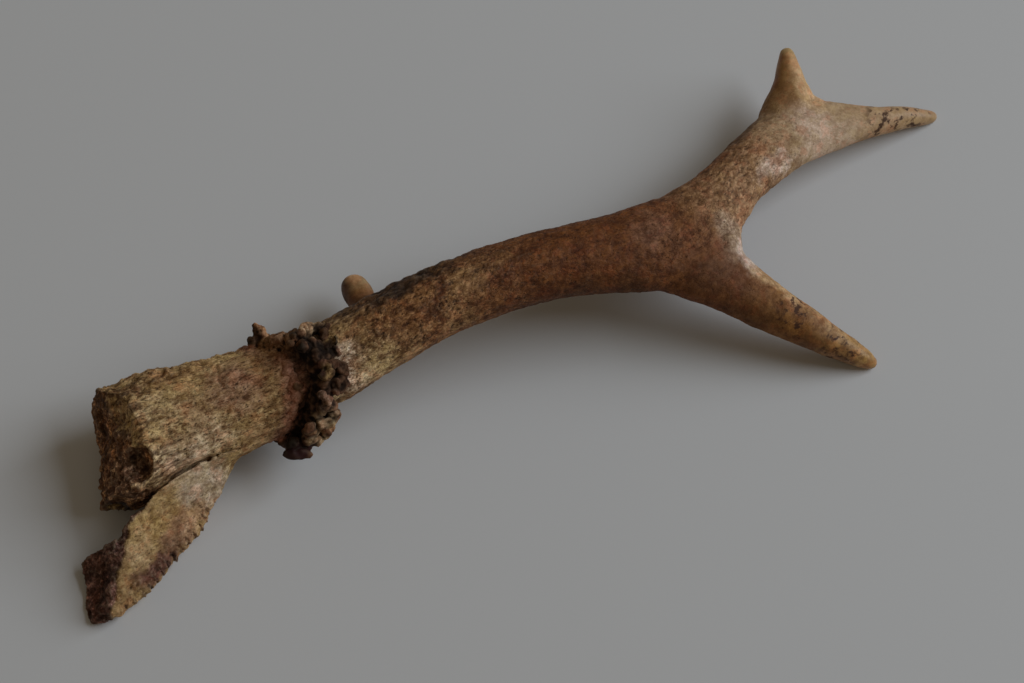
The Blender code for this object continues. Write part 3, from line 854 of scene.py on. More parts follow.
def antler_heights(points, place, grain, crust, rough):
    """The relief of the beam and the tines."""
    x = points[:, 0]
    heights = layer(points, ANTLER_SWELLS) + crust * layer(place, CREST_LUMPS)
    heights += rough * (grain * layer(place, ANTLER_GRAIN) + layer(points, ANTLER_GRIT))
    upper = rough * smooth_step(x, 62, 74) * smooth_step(-x, -116, -96)
    heights -= upper * (np.abs(layer(place, UPPER_FURROWS)) - 0.12)
    fray = unevenness(place, 1.5, 2, 5.0)[:, None]
    sparse = smooth_step(unevenness(place, 6.0, 2, 71.0), -0.15, 0.25)
    to_fork = smooth_step(place[:, 0], 85, 120)
    pit_depth = 0.40 * rough * sparse * (1 - 0.7 * to_fork)
    return heights - pit_depth * pits(place + fray, (2.0, 1.4, 1.4), 9.0, 0.42)


def make_antler(material):
    """The beam and the tines, from the burr to the tips."""
    nodes = ("lower_beam", "front_tine", "upper_beam", "top_tine", "rear_tine")
    rough = packed_copy("antler_rough", nodes)
    swell = rough.modifiers.new("swell", "DISPLACE")
    swell.strength = ANTLER_SWELL * MM
    swell.mid_level = 0.0
    skin = fused(rough, "antler", ANTLER_VOXEL)
    main = Line(MAIN_LINE)
    slim_foot(skin, main)
    skin.even_out(22)
    skin.push(-ANTLER_SWELL)
    fill_crotches(skin)

    place, gap = main.measure(skin.points)
    wander = 0.12 * unevenness(skin.points, 5.0, 3, 57.0)
    tint, mottled, grain = antler_pattern(skin.points, place, gap, wander)
    polish = antler_polish(skin.points)
    crust = near(skin.points, *CREST, 2.2 * wander)
    skin.push(antler_heights(skin.points, place, grain, crust, (1 - 0.85 * polish) * mottled))

    points = skin.points
    # Stains, painted highlights and painted shade on the beam, the tines and the knob.
    tint = patched(patched(tint, points, ANTLER_STAINS_AND_PAINTED_LIGHT), points, KNOB_PAINTED_LIGHT_AND_SHADE, 0.2)
    foot = smooth_step(-past_burr(points), -4.5, -1.0)
    # The antler's foot at the ring takes the grime and the painted shade of the burr's foot.
    grime_and_shade = grimed_and_shaded(np.broadcast_to(GRIME_BROWN, tint.shape), points, ring_wander(points))
    blotched = np.max([near(points, *spot, wander) for spot in BLOTCHED], axis=0)
    skin.record(tint=laid_over(tint, grime_and_shade, foot), place=place, grain=grain, mottled=mottled)
    skin.record(polish=polish, crust=crust, blotched=blotched)
    skin.record_relief(2, 12)
    return piece_of(skin, "antler", material, nodes)


def on_ring(degrees, out, back):
    """A place at that turn of the burr's ring, moved out of it and back to the pedicle."""
    lean = Matrix.Rotation(BURR_LEAN, 3, "Y")
    angle = math.radians(degrees)
    flat = lean @ Vector((0, 1, 0)) * math.cos(angle) * (BURR_HALF_WIDTH + out)
    high = lean @ Vector((0, 0, 1)) * math.sin(angle) * (BURR_HALF_HEIGHT + out)
    return BURR_MIDDLE + flat + high - burr_way() * back


def collar_lumps():
    """The even collar under the pearls: places and sizes, as all the lumps below."""
    size = Vector((1.2, 1.2, 1.2)) * (BURR_COLLAR / 2)
    return [(on_ring(360 * k / COLLAR_COUNT, -3.8, 0.6), size) for k in range(COLLAR_COUNT)]


def crag_lumps():
    """The pearls, each with a smaller lump on its side."""
    draws = random.Random(5)
    made = []
    for degrees, out, back, size in BIG_PEARLS:
        middle = on_ring(degrees, out, back)
        stretch = Vector((draws.uniform(0.8, 1.3), draws.uniform(0.75, 1.0), draws.uniform(0.75, 1.0)))
        made.append((middle, stretch * size))
        outward = (middle - BURR_MIDDLE).normalized()
        aside = Vector(draws.gauss(0, 1) for _ in range(3)).normalized()
        reach = (aside + 0.8 * outward).normalized() * size
        made.append((middle + 0.40 * reach, Vector((1, 1, 1)) * (size * draws.uniform(0.6, 0.8))))
    return made


def spike_lumps():
    """The rear spike as a row of shrinking lumps, and the lumps at its foot."""
    made = []
    for start, end in zip(REAR_SPIKE, REAR_SPIKE[1:]):
        for t in np.arange(0.0, 1.0, 0.125):
            degrees, out, back, size = (a + t * (b - a) for a, b in zip(start, end))
            made.append((on_ring(degrees, out, back), Vector((0.9, 1.0, 1.0)) * size))
    return made + [(Vector(place), Vector((size, size, size))) for place, size in REAR_FOOT]


def flat_lumps():
    """The flat dark pearl as a row of low lumps."""
    start, end, half_width, half_height = FLAT_PEARL
    made = []
    for t in np.linspace(-0.9, 0.9, 13):
        middle = Vector(start).lerp(Vector(end), 0.5 + 0.5 * t)
        made.append((middle, Vector((half_width, half_width, half_height)) * math.sqrt(1 - t * t)))
    return made


def crust_lumps(pedicle):
    """The low crust sown over the pedicle's end."""
    draws = random.Random(8)
    made = []
    for row in CRUST_ROWS:
        for k in range(CRUST_COUNT):
            back = row + draws.gauss(0, 0.3)
            outside = on_ring(360 * (k + draws.uniform(-0.4, 0.4)) / CRUST_COUNT, 12.0, back)
            inward = (BURR_MIDDLE - burr_way() * back - outside).normalized()
            hit = pedicle.ray_cast(outside * MM, inward)[0]
            if hit:
                size = draws.uniform(1.2, 1.5)
                proud = draws.uniform(0.8, 1.2) * np.interp(back, (2.2, 5.8), (0.9, 0.05))
                made.append((hit / MM + inward * (size - proud), Vector((1.3, 1.0, 1.0)) * size))
    return made


def feed(tree, socket, value):
    """Links the value to the socket, or sets it there if it is a plain value."""
    if isinstance(value, bpy.types.NodeSocket):
        tree.links.new(value, socket)
    elif value is not None:
        socket.default_value = value


def feed_all(tree, sockets, values):
    """Feeds the sockets by their names, in which _ may stand for a space."""
    for name, value in values.items():
        feed(tree, sockets[name.replace("_", " ")], value)


def node(tree, kind, output, settings=None, **inputs):
    """One output of a new node that has those settings and inputs."""
    made = tree.nodes.new(kind)
    for name, value in (settings or {}).items():
        setattr(made, name, value)
    feed_all(tree, made.inputs, inputs)
    return made.outputs[output]


def node_group(name, tree_kind, inputs, outputs):
    """An empty node group: its tree, what it is given and where its results go.

    Each input is given as its kind, or as the number or colour that it has by default.
    """
    tree = bpy.data.node_groups.new(name, tree_kind)
    for socket, value in inputs.items():
        kind = {float: "Float", tuple: "Color"}.get(type(value), value)
        made = tree.interface.new_socket(name=socket, in_out="INPUT", socket_type=f"NodeSocket{kind}")
        if kind != value:
            made.default_value = value
    for socket, kind in outputs.items():
        tree.interface.new_socket(name=socket, in_out="OUTPUT", socket_type=f"NodeSocket{kind}")
    return tree, tree.nodes.new("NodeGroupInput").outputs, tree.nodes.new("NodeGroupOutput").inputs


def math_node(tree, operation, *values, clamp=False):
    made = tree.nodes.new("ShaderNodeMath")
    made.operation = operation
    made.use_clamp = clamp
    for socket, value in zip(made.inputs, values):
        feed(tree, socket, value)
    return made.outputs["Value"]


def times(tree, value, *others):
    for other in others:
        value = math_node(tree, "MULTIPLY", value, other)
    return value


def total(tree, value, *others):
    for other in others:
        value = math_node(tree, "ADD", value, other)
    return value


def pearl_tree():
    """Nodes that set a lump of bone on every point, sized by the point, and roughen them all."""
    wanted = {
        "Points": "Geometry",
        "Lean": "Vector",
        "Lump Size": "Float",
        "Lump Height": "Float",
        "Material": "Material",
    }
    tree, given, result = node_group("burr_pearls", "GeometryNodeTree", wanted, {"Crust": "Geometry"})
    ball = node(tree, "GeometryNodeMeshIcoSphere", "Mesh", Radius=MM, Subdivisions=4)
    vectors = {"data_type": "FLOAT_VECTOR"}
    size = node(tree, "GeometryNodeInputNamedAttribute", "Attribute", vectors, Name="pearl_size")
    sown = {"Points": given["Points"], "Instance": ball, "Rotation": given["Lean"], "Scale": size}
    lumps = node(tree, "GeometryNodeInstanceOnPoints", "Instances", **sown)
    lumps = node(tree, "GeometryNodeRealizeInstances", "Geometry", Geometry=lumps)
    place = node(tree, "GeometryNodeInputPosition", "Position")
    scale = math_node(tree, "DIVIDE", 1.0, given["Lump Size"])
    cloud = noise_node(tree, place, 3.0, 0.6, scale)
    height = times(tree, math_node(tree, "SUBTRACT", cloud, 0.5), given["Lump Height"])
    normal = node(tree, "GeometryNodeInputNormal", "Normal")
    offset = node(tree, "ShaderNodeVectorMath", "Vector", {"operation": "SCALE"}, Vector=normal, Scale=height)
    lumps = node(tree, "GeometryNodeSetPosition", "Geometry", Geometry=lumps, Offset=offset)
    lumps = node(tree, "GeometryNodeSetMaterial", "Geometry", Geometry=lumps, Material=given["Material"])
    feed_all(tree, result, {"Crust": lumps})
    return tree


def set_inputs(modifier, values):
    """Sets a node modifier's inputs by their names."""
    for item in modifier.node_group.interface.items_tree:
        if item.item_type == "SOCKET" and item.in_out == "INPUT" and item.name in values:
            modifier[item.identifier] = values[item.name]


def burr_skin(pedicle, material):
    """The burr's lumps, grown together in one skin."""
    lumps = collar_lumps() + crag_lumps() + spike_lumps() + flat_lumps() + crust_lumps(pedicle)
    mesh = bpy.data.meshes.new("burr_points")
    mesh.from_pydata([place * MM for place, _ in lumps], [], [])
    attribute = mesh.attributes.new("pearl_size", "FLOAT_VECTOR", "POINT")
    attribute.data.foreach_set("vector", np.array([size for _, size in lumps], np.float32).ravel())
    rough = linked("burr_points", mesh)
    pearls = rough.modifiers.new("pearls", "NODES")
    pearls.node_group = pearl_tree()
    values = {"Lean": (0.0, BURR_LEAN, 0.0), "Lump Size": 4.2 * MM, "Lump Height": 2.8 * MM}
    set_inputs(pearls, {**values, "Material": material})
    skin = fused(rough, "burr", BURR_VOXEL)
    skin.keep_largest()
    skin.even_out(4)
    return skin


def burr_heights(points):
    """The relief of the pearls."""
    fray = unevenness(points, 1.5, 2, 5.0)[:, None]
    heights = layer(points, PEARL_GRIT)
    heights += 1.3 * (cells(points + 0.5 * fray, 3.6, 7.0) - 0.45)
    return heights + 0.40 * (cells(points, 1.6, 3.0) - 0.45)


def burr_tint(skin, points, flush):
    """Black-brown crust, rubbed brown where it stands proud, darkened as painted shade in its crevices and on
    its side towards the pedicle, and grimed, with a band of painted shade, where it lies flush.
    """
    proud = smooth_step(skin.relief(120), -0.1, 0.8) * (1 - flush)
    proud *= smooth_step(past_burr(points), -7.0, -3.0)
    patchy = smooth_step(unevenness(points, 3.5, 3, 67.0), -0.2, 0.4)
    base = laid_over(np.broadcast_to(BLACK_BROWN, points.shape), BURR_BROWN, proud * (0.4 + 0.6 * patchy))
    # Painted shade: the crevices and the side towards the pedicle are darkened.
    tint = patched(base, points, BURR_STAINS_AND_PAINTED_SHADE) * (0.24 + 0.76 * proud[:, None])
    foot = grimed_and_shaded(np.broadcast_to(GRIME_BROWN, points.shape), points, ring_wander(points))
    return patched(laid_over(tint, foot, flush), points, CREST_STAINS_AND_PAINTED_LIGHT, 0.4)


def make_burr(material):
    """The crust of pearls round the beam's foot."""
    rough = packed_copy("pedicle_rough", ("skull_piece",))
    pedicle, _ = packed_surface(rough)
    bpy.data.objects.remove(rough)
    skin = burr_skin(pedicle, material)
    points = skin.points.copy()
    start, end, _, _ = FLAT_PEARL
    flat = near(points, 0.5 * (np.array(start) + end), (6.2, 3.4, 3.2))
    from_bone = np.array([pedicle.find_nearest(Vector(p) * MM)[3] for p in points]) / MM
    flush = smooth_step(-from_bone, -1.9, -1.0) * smooth_step(-past_burr(points), 0.5, 2.5)
    skin.even_out(24, flat)
    skin.even_out(30, flush)
    skin.push(burr_heights(points) * (1 - 0.6 * flush) * (1 - 0.9 * flat))
    skin.even_out(2)
    skin.record(tint=burr_tint(skin, points, flush), place=points, grain=0.0, mottled=0.7 * (1 - flat))
    skin.record(polish=0.3 + 0.4 * flat, crust=0.0, blotched=0.0)
    skin.record_relief(4, 40)
    return piece_of(skin, "burr", material, ("lower_beam",))


def front_edge(points, on_plate):
    """How far each point lies behind the brow plate's front edge."""
    x, y = points[:, 0], points[:, 1]
    stations = np.arange(-152.0, -92.0, 4.0)
    lowest = [np.min(y[on_plate & (np.abs(x - at) < 2.0)], initial=30.0) for at in stations]
    return y - np.interp(x, stations, lowest)


def broken_face(points, faced, wander):
    """The thick bone's broken end, with the natural bone that laps over it left whole."""
    x, y, z = points.T
    marks, ends, tops = zip(*FACE_BORDER)
    below = smooth_step(np.interp(y, marks, tops) - z + 1.2 * wander, -0.7, 0.7)
    lip = smooth_step(np.interp(y, marks, ends) - x + 0.8 * wander, -0.5, 0.5) * (z > 15) * (y > 15)
    face = smooth_step(-faced[:, 0] + 0.06 * wander, 0.20, 0.36) * smooth_step(-x, 106, 112)
    return np.maximum(face, lip) * (1 - (1 - below) * (y > 14))


def skull_areas(skin, faces, edges):
    """The shares of each point in the areas of the skull piece, before its surface is worked."""
    points = skin.points
    x, y, z = points.T
    faced = np.array([faces.find_nearest(Vector(p) * MM)[1] for p in points])
    from_edge = np.array([edges.find(Vector(p) * MM)[2] for p in points]) / MM
    area = SimpleNamespace(wander=ring_wander(points))
    area.on_plate = smooth_step(-y, -21, -19) * smooth_step(-x, 122, 126)
    past_break = smooth_step(y - x + 1.4 * area.wander, -PLATE_BREAK - 0.6, -PLATE_BREAK + 0.6)
    area.rim = area.on_plate * past_break
    area.hollow = near(points, *FACE_HOLLOW, 0.5 * area.wander)
    notch = smooth_step(np.abs(faced[:, 1]), 0.75, 0.9) * smooth_step(-x, 118, 123)
    notch = notch * (y > 8) * (y < 32) * (z < 24)
    face = broken_face(points, faced, area.wander)
    area.broken = skin.blurred(np.max([face, notch, area.rim, area.hollow], axis=0), 2)
    behind = front_edge(points, (y < 17) & (x < -95))
    area.teeth = smooth_step(-behind, -5.0, -3.0) * smooth_step(-x, 96, 102) * (y < 17)
    area.natural = (1 - area.broken) * np.maximum(smooth_step(from_edge, 0.5, 2.0), area.teeth)
    return area


def along_pedicle(points):
    """The points turned so that their first axis runs along the pedicle, as its fibres do."""
    way = np.array(PEDICLE_WAY.normalized())
    across = np.cross((0.0, 0.0, 1.0), way)
    across /= np.linalg.norm(across)
    return np.stack([points @ w for w in (way, across, np.cross(way, across))], axis=1)


def skull_heights(points, place, area):
    """The relief of natural bone and of its breaks."""
    x, y, _ = points.T
    whole = 1 - area.broken
    strong = whole * (1 - 0.5 * area.plate)
    fray = unevenness(place, 1.6, 2, 5.0)[:, None]
    heights = whole * (layer(place, SKULL_SWELLS) + layer(place, SKULL_GRIT))
    heights += strong * (1 + area.to_break) * layer(place, SKULL_FIBRES)
    slit_patches = smooth_step(unevenness(place, 5.0, 3, 61.0) + 0.4 * area.to_break, 0.15, 0.50)
    heights -= 0.42 * strong * slit_patches * pits(place + 1.2 * fray, (3.0, 1.2, 1.2), 5.0, 0.36)
    heights += whole * smooth_step(y, 39, 45) * (x < -80) * layer(points, RAGGED_EDGE)
    sponge = 1.1 * (cells(points, 1.9, 23.0) - 0.42)
    heights += area.broken * (sponge + layer(points, BREAK_LUMPS))
    for middle, reach, height in SKULL_LUMPS:
        heights += height * dome(points, middle, reach)[0] ** 2
    swell, around = dome(points + 0.5 * fray, RIM_PLACE, RIM_HALF_WIDTH)
    furrow = np.exp(-((around - 1.2) / 0.25) ** 2)
    heights += (0.6 + layer(points, RIM_UNEVENNESS)) * 0.3 * (swell - furrow)
    return heights + area.teeth * (0.65 + layer(points, SUTURE_TEETH))


def skull_tint(points, place, area):
    """Cream bone with stains, dark streaks towards the breaks, grime and painted shade by the burr and brown
    breaks.
    """
    tint = patched(np.broadcast_to(CREAM_BONE, points.shape), points, SKULL_STAINS)
    streaks = area.to_break * smooth_step(unevenness(place, (5.0, 1.0, 1.0), 4, 53.0), 0.05, 0.35)
    tint = laid_over(tint, DARK_BROWN, 0.8 * streaks * (1 - 0.7 * area.plate))
    tint = patched(grimed_and_shaded(tint, points, area.wander), points, CREST_STAINS_AND_PAINTED_LIGHT[:1])
    broken = laid_over(np.broadcast_to(BREAK_BROWN, points.shape), PLATE_BREAK_BROWN, area.on_plate)
    broken = broken * ((1 + 0.8 * area.wander) * (1 + 1.4 * area.hollow))[:, None]
    return laid_over(tint, patched(broken, points, BREAK_STAINS_AND_PAINTED_SHADE), area.broken)


def carve(skin, line, half_width, depth):
    """Sinks a wandering groove into the upper side along the line."""
    line = np.array(line, float)
    wandering = skin.points + 0.4 * unevenness(skin.points, 3.0, 2, 7.0)[:, None]
    gap = np.full(len(skin.points), np.inf)
    for a, b in zip(line, line[1:]):
        span = b - a
        t = np.clip((wandering - a) @ span / (span @ span), 0, 1)
        flat = (wandering - a - t[:, None] * span)[:, :2]
        gap = np.minimum(gap, np.linalg.norm(flat, axis=1))
    upper = smooth_step(skin.normals()[:, 2], -0.2, 0.3) * (skin.points[:, 2] > 8)
    skin.points[:, 2] -= depth * upper * smooth_step(-gap, -half_width, 0)


def sink_break(skin, rim):
    """Slants the brow plate down to its broken edge."""
    x, y, z = skin.points.T
    sunk = rim * np.clip(y - x + PLATE_BREAK, 0, 7) * 0.28
    skin.points[:, 2] -= sunk * smooth_step(z, 2, 6)


def make_skull(material):
    """The pedicle, the thick bone at its foot and the brow plate."""
    rough = packed_copy("skull_rough", ("skull_piece",))
    faces, edges = packed_surface(rough)
    skin = fused(rough, "skull_bone", SKULL_VOXEL)
    area = skull_areas(skin, faces, edges)
    skin.even_out(4)
    skin.even_out(36, area.natural)
    for _ in range(60):
        skin.relax(0.5, area.teeth)

    place = along_pedicle(skin.points)
    x, y, _ = skin.points.T
    area.to_break = smooth_step(-x, 92, 120)
    area.plate = smooth_step(-y, -21, -17) * smooth_step(-x, 95, 104)
    skin.push(skull_heights(skin.points, place, area))
    sink_break(skin, area.rim)
    for groove in SKULL_GROOVES:
        carve(skin, *groove)

    skin.record(tint=skull_tint(skin.points, place, area), place=place, broken=area.broken)
    skin.record(grain=0.65 * (1 - 0.5 * area.plate), mottled=1 - 0.45 * area.plate)
    skin.record_relief(2, 16)
    return piece_of(skin, "skull_bone", material, ("skull_piece",))


def eased(tree, value, low, high, to_low=0.0, to_high=1.0):
    """A soft rise from to_low at low to to_high at high."""
    ends = {"From_Min": low, "From_Max": high, "To_Min": to_low, "To_Max": to_high}
    soft = {"interpolation_type": "SMOOTHSTEP"}
    return node(tree, "ShaderNodeMapRange", "Result", soft, Value=value, **ends)


def mixed(tree, share, first, second, blend="MIX"):
    """Two colours mixed by the share."""
    settings = {"data_type": "RGBA", "blend_type": blend}
    return node(tree, "ShaderNodeMix", "Result", settings, Factor=share, A=first, B=second)


def layered(tree, colour, layers):
    """The colour with each layer's pigment mixed in by the layer's share."""
    for share, pigment in layers:
        colour = mixed(tree, share, colour, pigment)
    return colour


def turned(tree, colour, shares):
    """The colour with its channels scaled by the shares."""
    return mixed(tree, 1.0, colour, shares, "MULTIPLY")


def scaled_place(tree, place, along, across):
    """The place divided by a size along the bone and another across it."""
    parts = tree.nodes.new("ShaderNodeSeparateXYZ")
    feed(tree, parts.inputs["Vector"], place)
    sizes = zip("XYZ", (along, across, across))
    scaled = {axis: math_node(tree, "DIVIDE", parts.outputs[axis], size) for axis, size in sizes}
    return node(tree, "ShaderNodeCombineXYZ", "Vector", **scaled)


def noise_node(tree, place, detail, roughness=0.55, scale=1.0, output="Fac"):
    values = {"Vector": place, "Scale": scale, "Detail": detail, "Roughness": roughness}
    return node(tree, "ShaderNodeTexNoise", output, **values)


def frayed(tree, place, scale, reach):
    """The place shifted by a fine noise, so that a pattern there loses its clean outlines."""
    fray = noise_node(tree, place, 3.0, 0.5, scale, "Color")
    made = tree.nodes.new("ShaderNodeVectorMath")
    made.operation = "MULTIPLY_ADD"
    for socket, value in zip(made.inputs, (fray, (reach, reach, reach), place)):
        feed(tree, socket, value)
    return made.outputs["Vector"]


def cell_node(tree, given, fray, settings=None):
    """Random cells, drawn out along the grain by the group's Size and Stretch, with frayed outlines."""
    along = times(tree, given["Size"], given["Stretch"])
    place = frayed(tree, scaled_place(tree, given["Place"], along, given["Size"]), *fray)
    return node(tree, "ShaderNodeTexVoronoi", "Distance", settings, Vector=place, Scale=1.0)


def bead_group():
    """Small raised beads with a net of dark furrows between them."""
    wanted = {"Place": "Vector", "Size": 1.0, "Stretch": 1.3, "Width": 0.12}
    made = {"Bead": "Float", "Furrow": "Float"}
    tree, given, result = node_group("bone_beads", "ShaderNodeTree", wanted, made)
    gap = cell_node(tree, given, (1.3, 1.1), {"feature": "DISTANCE_TO_EDGE"})
    furrow = eased(tree, gap, 0.0, given["Width"], 1.0, 0.0)
    feed_all(tree, result, {"Bead": eased(tree, gap, 0.0, 0.4), "Furrow": furrow})
    return tree


def fibre_group():
    """Lengthwise strands of bone with dark gaps between them."""
    wanted = {"Place": "Vector", "Along": 6.0, "Across": 0.8, "Gap": 0.5}
    made = {"Strand": "Float", "Gap": "Float"}
    tree, given, result = node_group("bone_strands", "ShaderNodeTree", wanted, made)
    place = scaled_place(tree, given["Place"], given["Along"], given["Across"])
    strand = noise_node(tree, place, 4.0, 0.6)
    gap = eased(tree, strand, times(tree, given["Gap"], 0.6), given["Gap"], 1.0, 0.0)
    feed_all(tree, result, {"Strand": strand, "Gap": gap})
    return tree


def pore_group():
    """Small ragged pits, drawn out along the grain and missing where the bone is dense."""
    wanted = {"Place": "Vector", "Size": 1.0, "Stretch": 2.0, "Width": 0.3, "Share": 0.5}
    tree, given, result = node_group("bone_pores", "ShaderNodeTree", wanted, {"Pore": "Float"})
    gap = cell_node(tree, given, (1.9, 1.3))
    pit = eased(tree, gap, times(tree, given["Width"], 0.3), given["Width"], 1.0, 0.0)
    chance = node(tree, "ShaderNodeSeparateColor", "Red", Color=gap.node.outputs["Color"])
    open_here = math_node(tree, "LESS_THAN", chance, given["Share"])
    feed_all(tree, result, {"Pore": times(tree, pit, open_here)})
    return tree


def mottle_group():
    """Ragged clouds down to the finest specks, partly drawn out along the grain: light and dark shares."""
    wanted = {
        "Place": "Vector",
        "Straight Place": "Vector",
        "Grain": 0.5,
        "Size": 4.0,
        "Stretch": 2.5,
        "Roughness": 0.75,
        "Spread": 0.12,
    }
    made = {"Light": "Float", "Dark": "Float", "Height": "Float"}
    tree, given, result = node_group("bone_mottle", "ShaderNodeTree", wanted, made)
    size = given["Size"]
    along = times(tree, size, given["Stretch"])
    free = noise_node(tree, scaled_place(tree, given["Place"], size, size), 6.0, given["Roughness"])
    drawn = scaled_place(tree, given["Straight Place"], along, size)
    fibrous = noise_node(tree, drawn, 6.0, given["Roughness"])
    cloud = node(tree, "ShaderNodeMix", "Result", Factor=given["Grain"], A=free, B=fibrous)
    top = total(tree, 0.5, given["Spread"])
    bottom = math_node(tree, "SUBTRACT", 0.5, given["Spread"])
    dark = eased(tree, cloud, bottom, 0.5, 1.0, 0.0)
    feed_all(tree, result, {"Light": eased(tree, cloud, 0.5, top), "Dark": dark, "Height": cloud})
    return tree


def wear_group():
    """Dirt and painted shade in the hollows, and rubbed pale bone on the ridges."""
    wanted = {
        "Colour": "Color",
        "Dirt And Shade": (0.02, 0.01, 0.005, 1),
        "Pale": (0.6, 0.45, 0.3, 1),
        "Dirt Share": 0.6,
        "Wear Share": 0.3,
    }
    made = {"Colour": "Color"}
    tree, given, result = node_group("hollow_dirt_and_shade_and_ridge_wear", "ShaderNodeTree", wanted, made)
    # The hollows darken as dirt and painted shade.
    dirt_and_shade_share = math_node(tree, "MULTIPLY", attribute(tree, "hollow"), given["Dirt Share"], clamp=True)
    rubbed = math_node(tree, "MULTIPLY", attribute(tree, "ridge"), given["Wear Share"], clamp=True)
    colour = layered(tree, given["Colour"], [(rubbed, given["Pale"]), (dirt_and_shade_share, given["Dirt And Shade"])])
    feed_all(tree, result, {"Colour": colour})
    return tree


def attribute(tree, name, output="Fac"):
    return node(tree, "ShaderNodeAttribute", output, {"attribute_name": name})


def attributes(tree, *names):
    return [attribute(tree, name) for name in names]


def places_on_piece(tree):
    """The place on the piece in millimetres, and the same place straightened out along the grain."""
    here = node(tree, "ShaderNodeTexCoord", "Object")
    return scaled_place(tree, here, MM, MM), attribute(tree, "place", "Vector")


def placed(tree, group, **values):
    """The outputs of a copy of the group in the tree, with its inputs linked or set."""
    made = tree.nodes.new("ShaderNodeGroup")
    made.node_tree = group
    feed_all(tree, made.inputs, values)
    return made.outputs


def finish(tree, shader, colour, gloss, dull, heights):
    """Feeds the shader with a colour, a gloss, a roughness and heights in shares of the bumps' depth."""
    shader.inputs["Specular IOR Level"].default_value = gloss
    depth = {"Strength": 1.0, "Distance": BUMP_DEPTH * MM}
    normal = node(tree, "ShaderNodeBump", "Normal", Height=total(tree, *heights), **depth)
    feed_all(tree, shader.inputs, {"Base Color": colour, "Roughness": dull, "Normal": normal})


def new_material(name):
    material = bpy.data.materials.new(name)
    material.use_nodes = True
    tree = material.node_tree
    shader = tree.nodes["Principled BSDF"]
    shader.inputs["Metallic"].default_value = 0.0
    return material, tree, shader


def bone_pattern(tree, groups, places, grain, strength, fineness):
    """The pigment with clouds and specks laid over it, and the specks."""
    place, straight = places
    shared = {"Place": place, "Straight_Place": straight, "Grain": grain}
    clouds = placed(tree, groups["mottle"], **shared, Size=8.0, Stretch=1.6, Roughness=0.6, Spread=0.13)
    specks = placed(tree, groups["mottle"], **shared, Size=2.6, Stretch=1.8, Roughness=fineness, Spread=0.075)
    hue = noise_node(tree, scaled_place(tree, place, 4.5, 4.5), 4.0, 0.7)
    colour = attribute(tree, "tint", "Color")
    for high, shares in ((0.62, REDDER_SHARE), (0.38, OLIVE_SHARE)):
        share = times(tree, eased(tree, hue, 0.50, high), 0.7)
        colour = mixed(tree, share, colour, turned(tree, colour, shares))
    light, dark = turned(tree, colour, LIGHT_SHARE), turned(tree, colour, DARK_SHARE)
    layers = [
        (times(tree, clouds["Light"], 0.40, strength), light),
        (times(tree, clouds["Dark"], 0.50, strength), dark),
        (times(tree, specks["Light"], 0.90, strength), light),
        (times(tree, specks["Dark"], 0.90, strength), dark),
    ]
    return layered(tree, colour, layers), specks


def antler_material(groups, name, pore_share, wear, dirt_and_shade, gloss, roughness):
    """Antler: ragged mottling, dark pores, grime and painted shade in the hollows and a rubbed sheen on the
    tines.
    """
    material, tree, shader = new_material(name)
    place, straight = places_on_piece(tree)
    polish, crust, mottled, grain = attributes(tree, "polish", "crust", "mottled", "grain")
    rough = times(tree, math_node(tree, "SUBTRACT", 1.0, times(tree, polish, 0.85)), mottled)
    colour, specks = bone_pattern(tree, groups, (place, straight), grain, mottled, 0.80)
    beads = placed(tree, groups["beads"], Place=straight, Size=1.25, Stretch=1.5, Width=0.15)
    pores = placed(tree, groups["pores"], Place=straight, Size=0.9, Stretch=1.4, Width=0.40, Share=pore_share)
    fine = placed(tree, groups["pores"], Place=straight, Size=0.5, Stretch=1.6, Width=0.45, Share=0.4)
    open_pores, fine_pores = times(tree, pores["Pore"], rough), times(tree, fine["Pore"], rough)
    blotches = noise_node(tree, scaled_place(tree, place, 2.8, 2.0), 4.0, 0.6)
    blotched = times(tree, eased(tree, blotches, 0.50, 0.63), attribute(tree, "blotched"))
    layers = [
        (times(tree, beads["Bead"], 0.28, rough), turned(tree, colour, LIGHT_SHARE)),
        (times(tree, beads["Furrow"], 0.38, rough), turned(tree, colour, DARK_SHARE)),
        (times(tree, open_pores, 0.7), ANTLER_PORE),
        (times(tree, fine_pores, 0.18), ANTLER_PORE),
        (times(tree, blotched, 0.95), BLOTCH),
    ]
    colour = layered(tree, colour, layers)
    worn = placed(tree, groups["wear"], Colour=colour, Dirt_Share=dirt_and_shade, Wear_Share=wear)
    heights = [
        times(tree, specks["Height"], 2.0, rough),
        times(tree, beads["Bead"], 0.5, rough),
        times(tree, open_pores, -0.9),
        times(tree, fine_pores, -0.5),
    ]
    dull = math_node(tree, "SUBTRACT", roughness, times(tree, polish, polish, polish, 0.28))
    dull = total(tree, dull, times(tree, specks["Dark"], 0.12), times(tree, blotched, 0.15))
    dull = total(tree, dull, times(tree, crust, -0.08))
    finish(tree, shader, worn["Colour"], gloss, dull, heights)
    return material


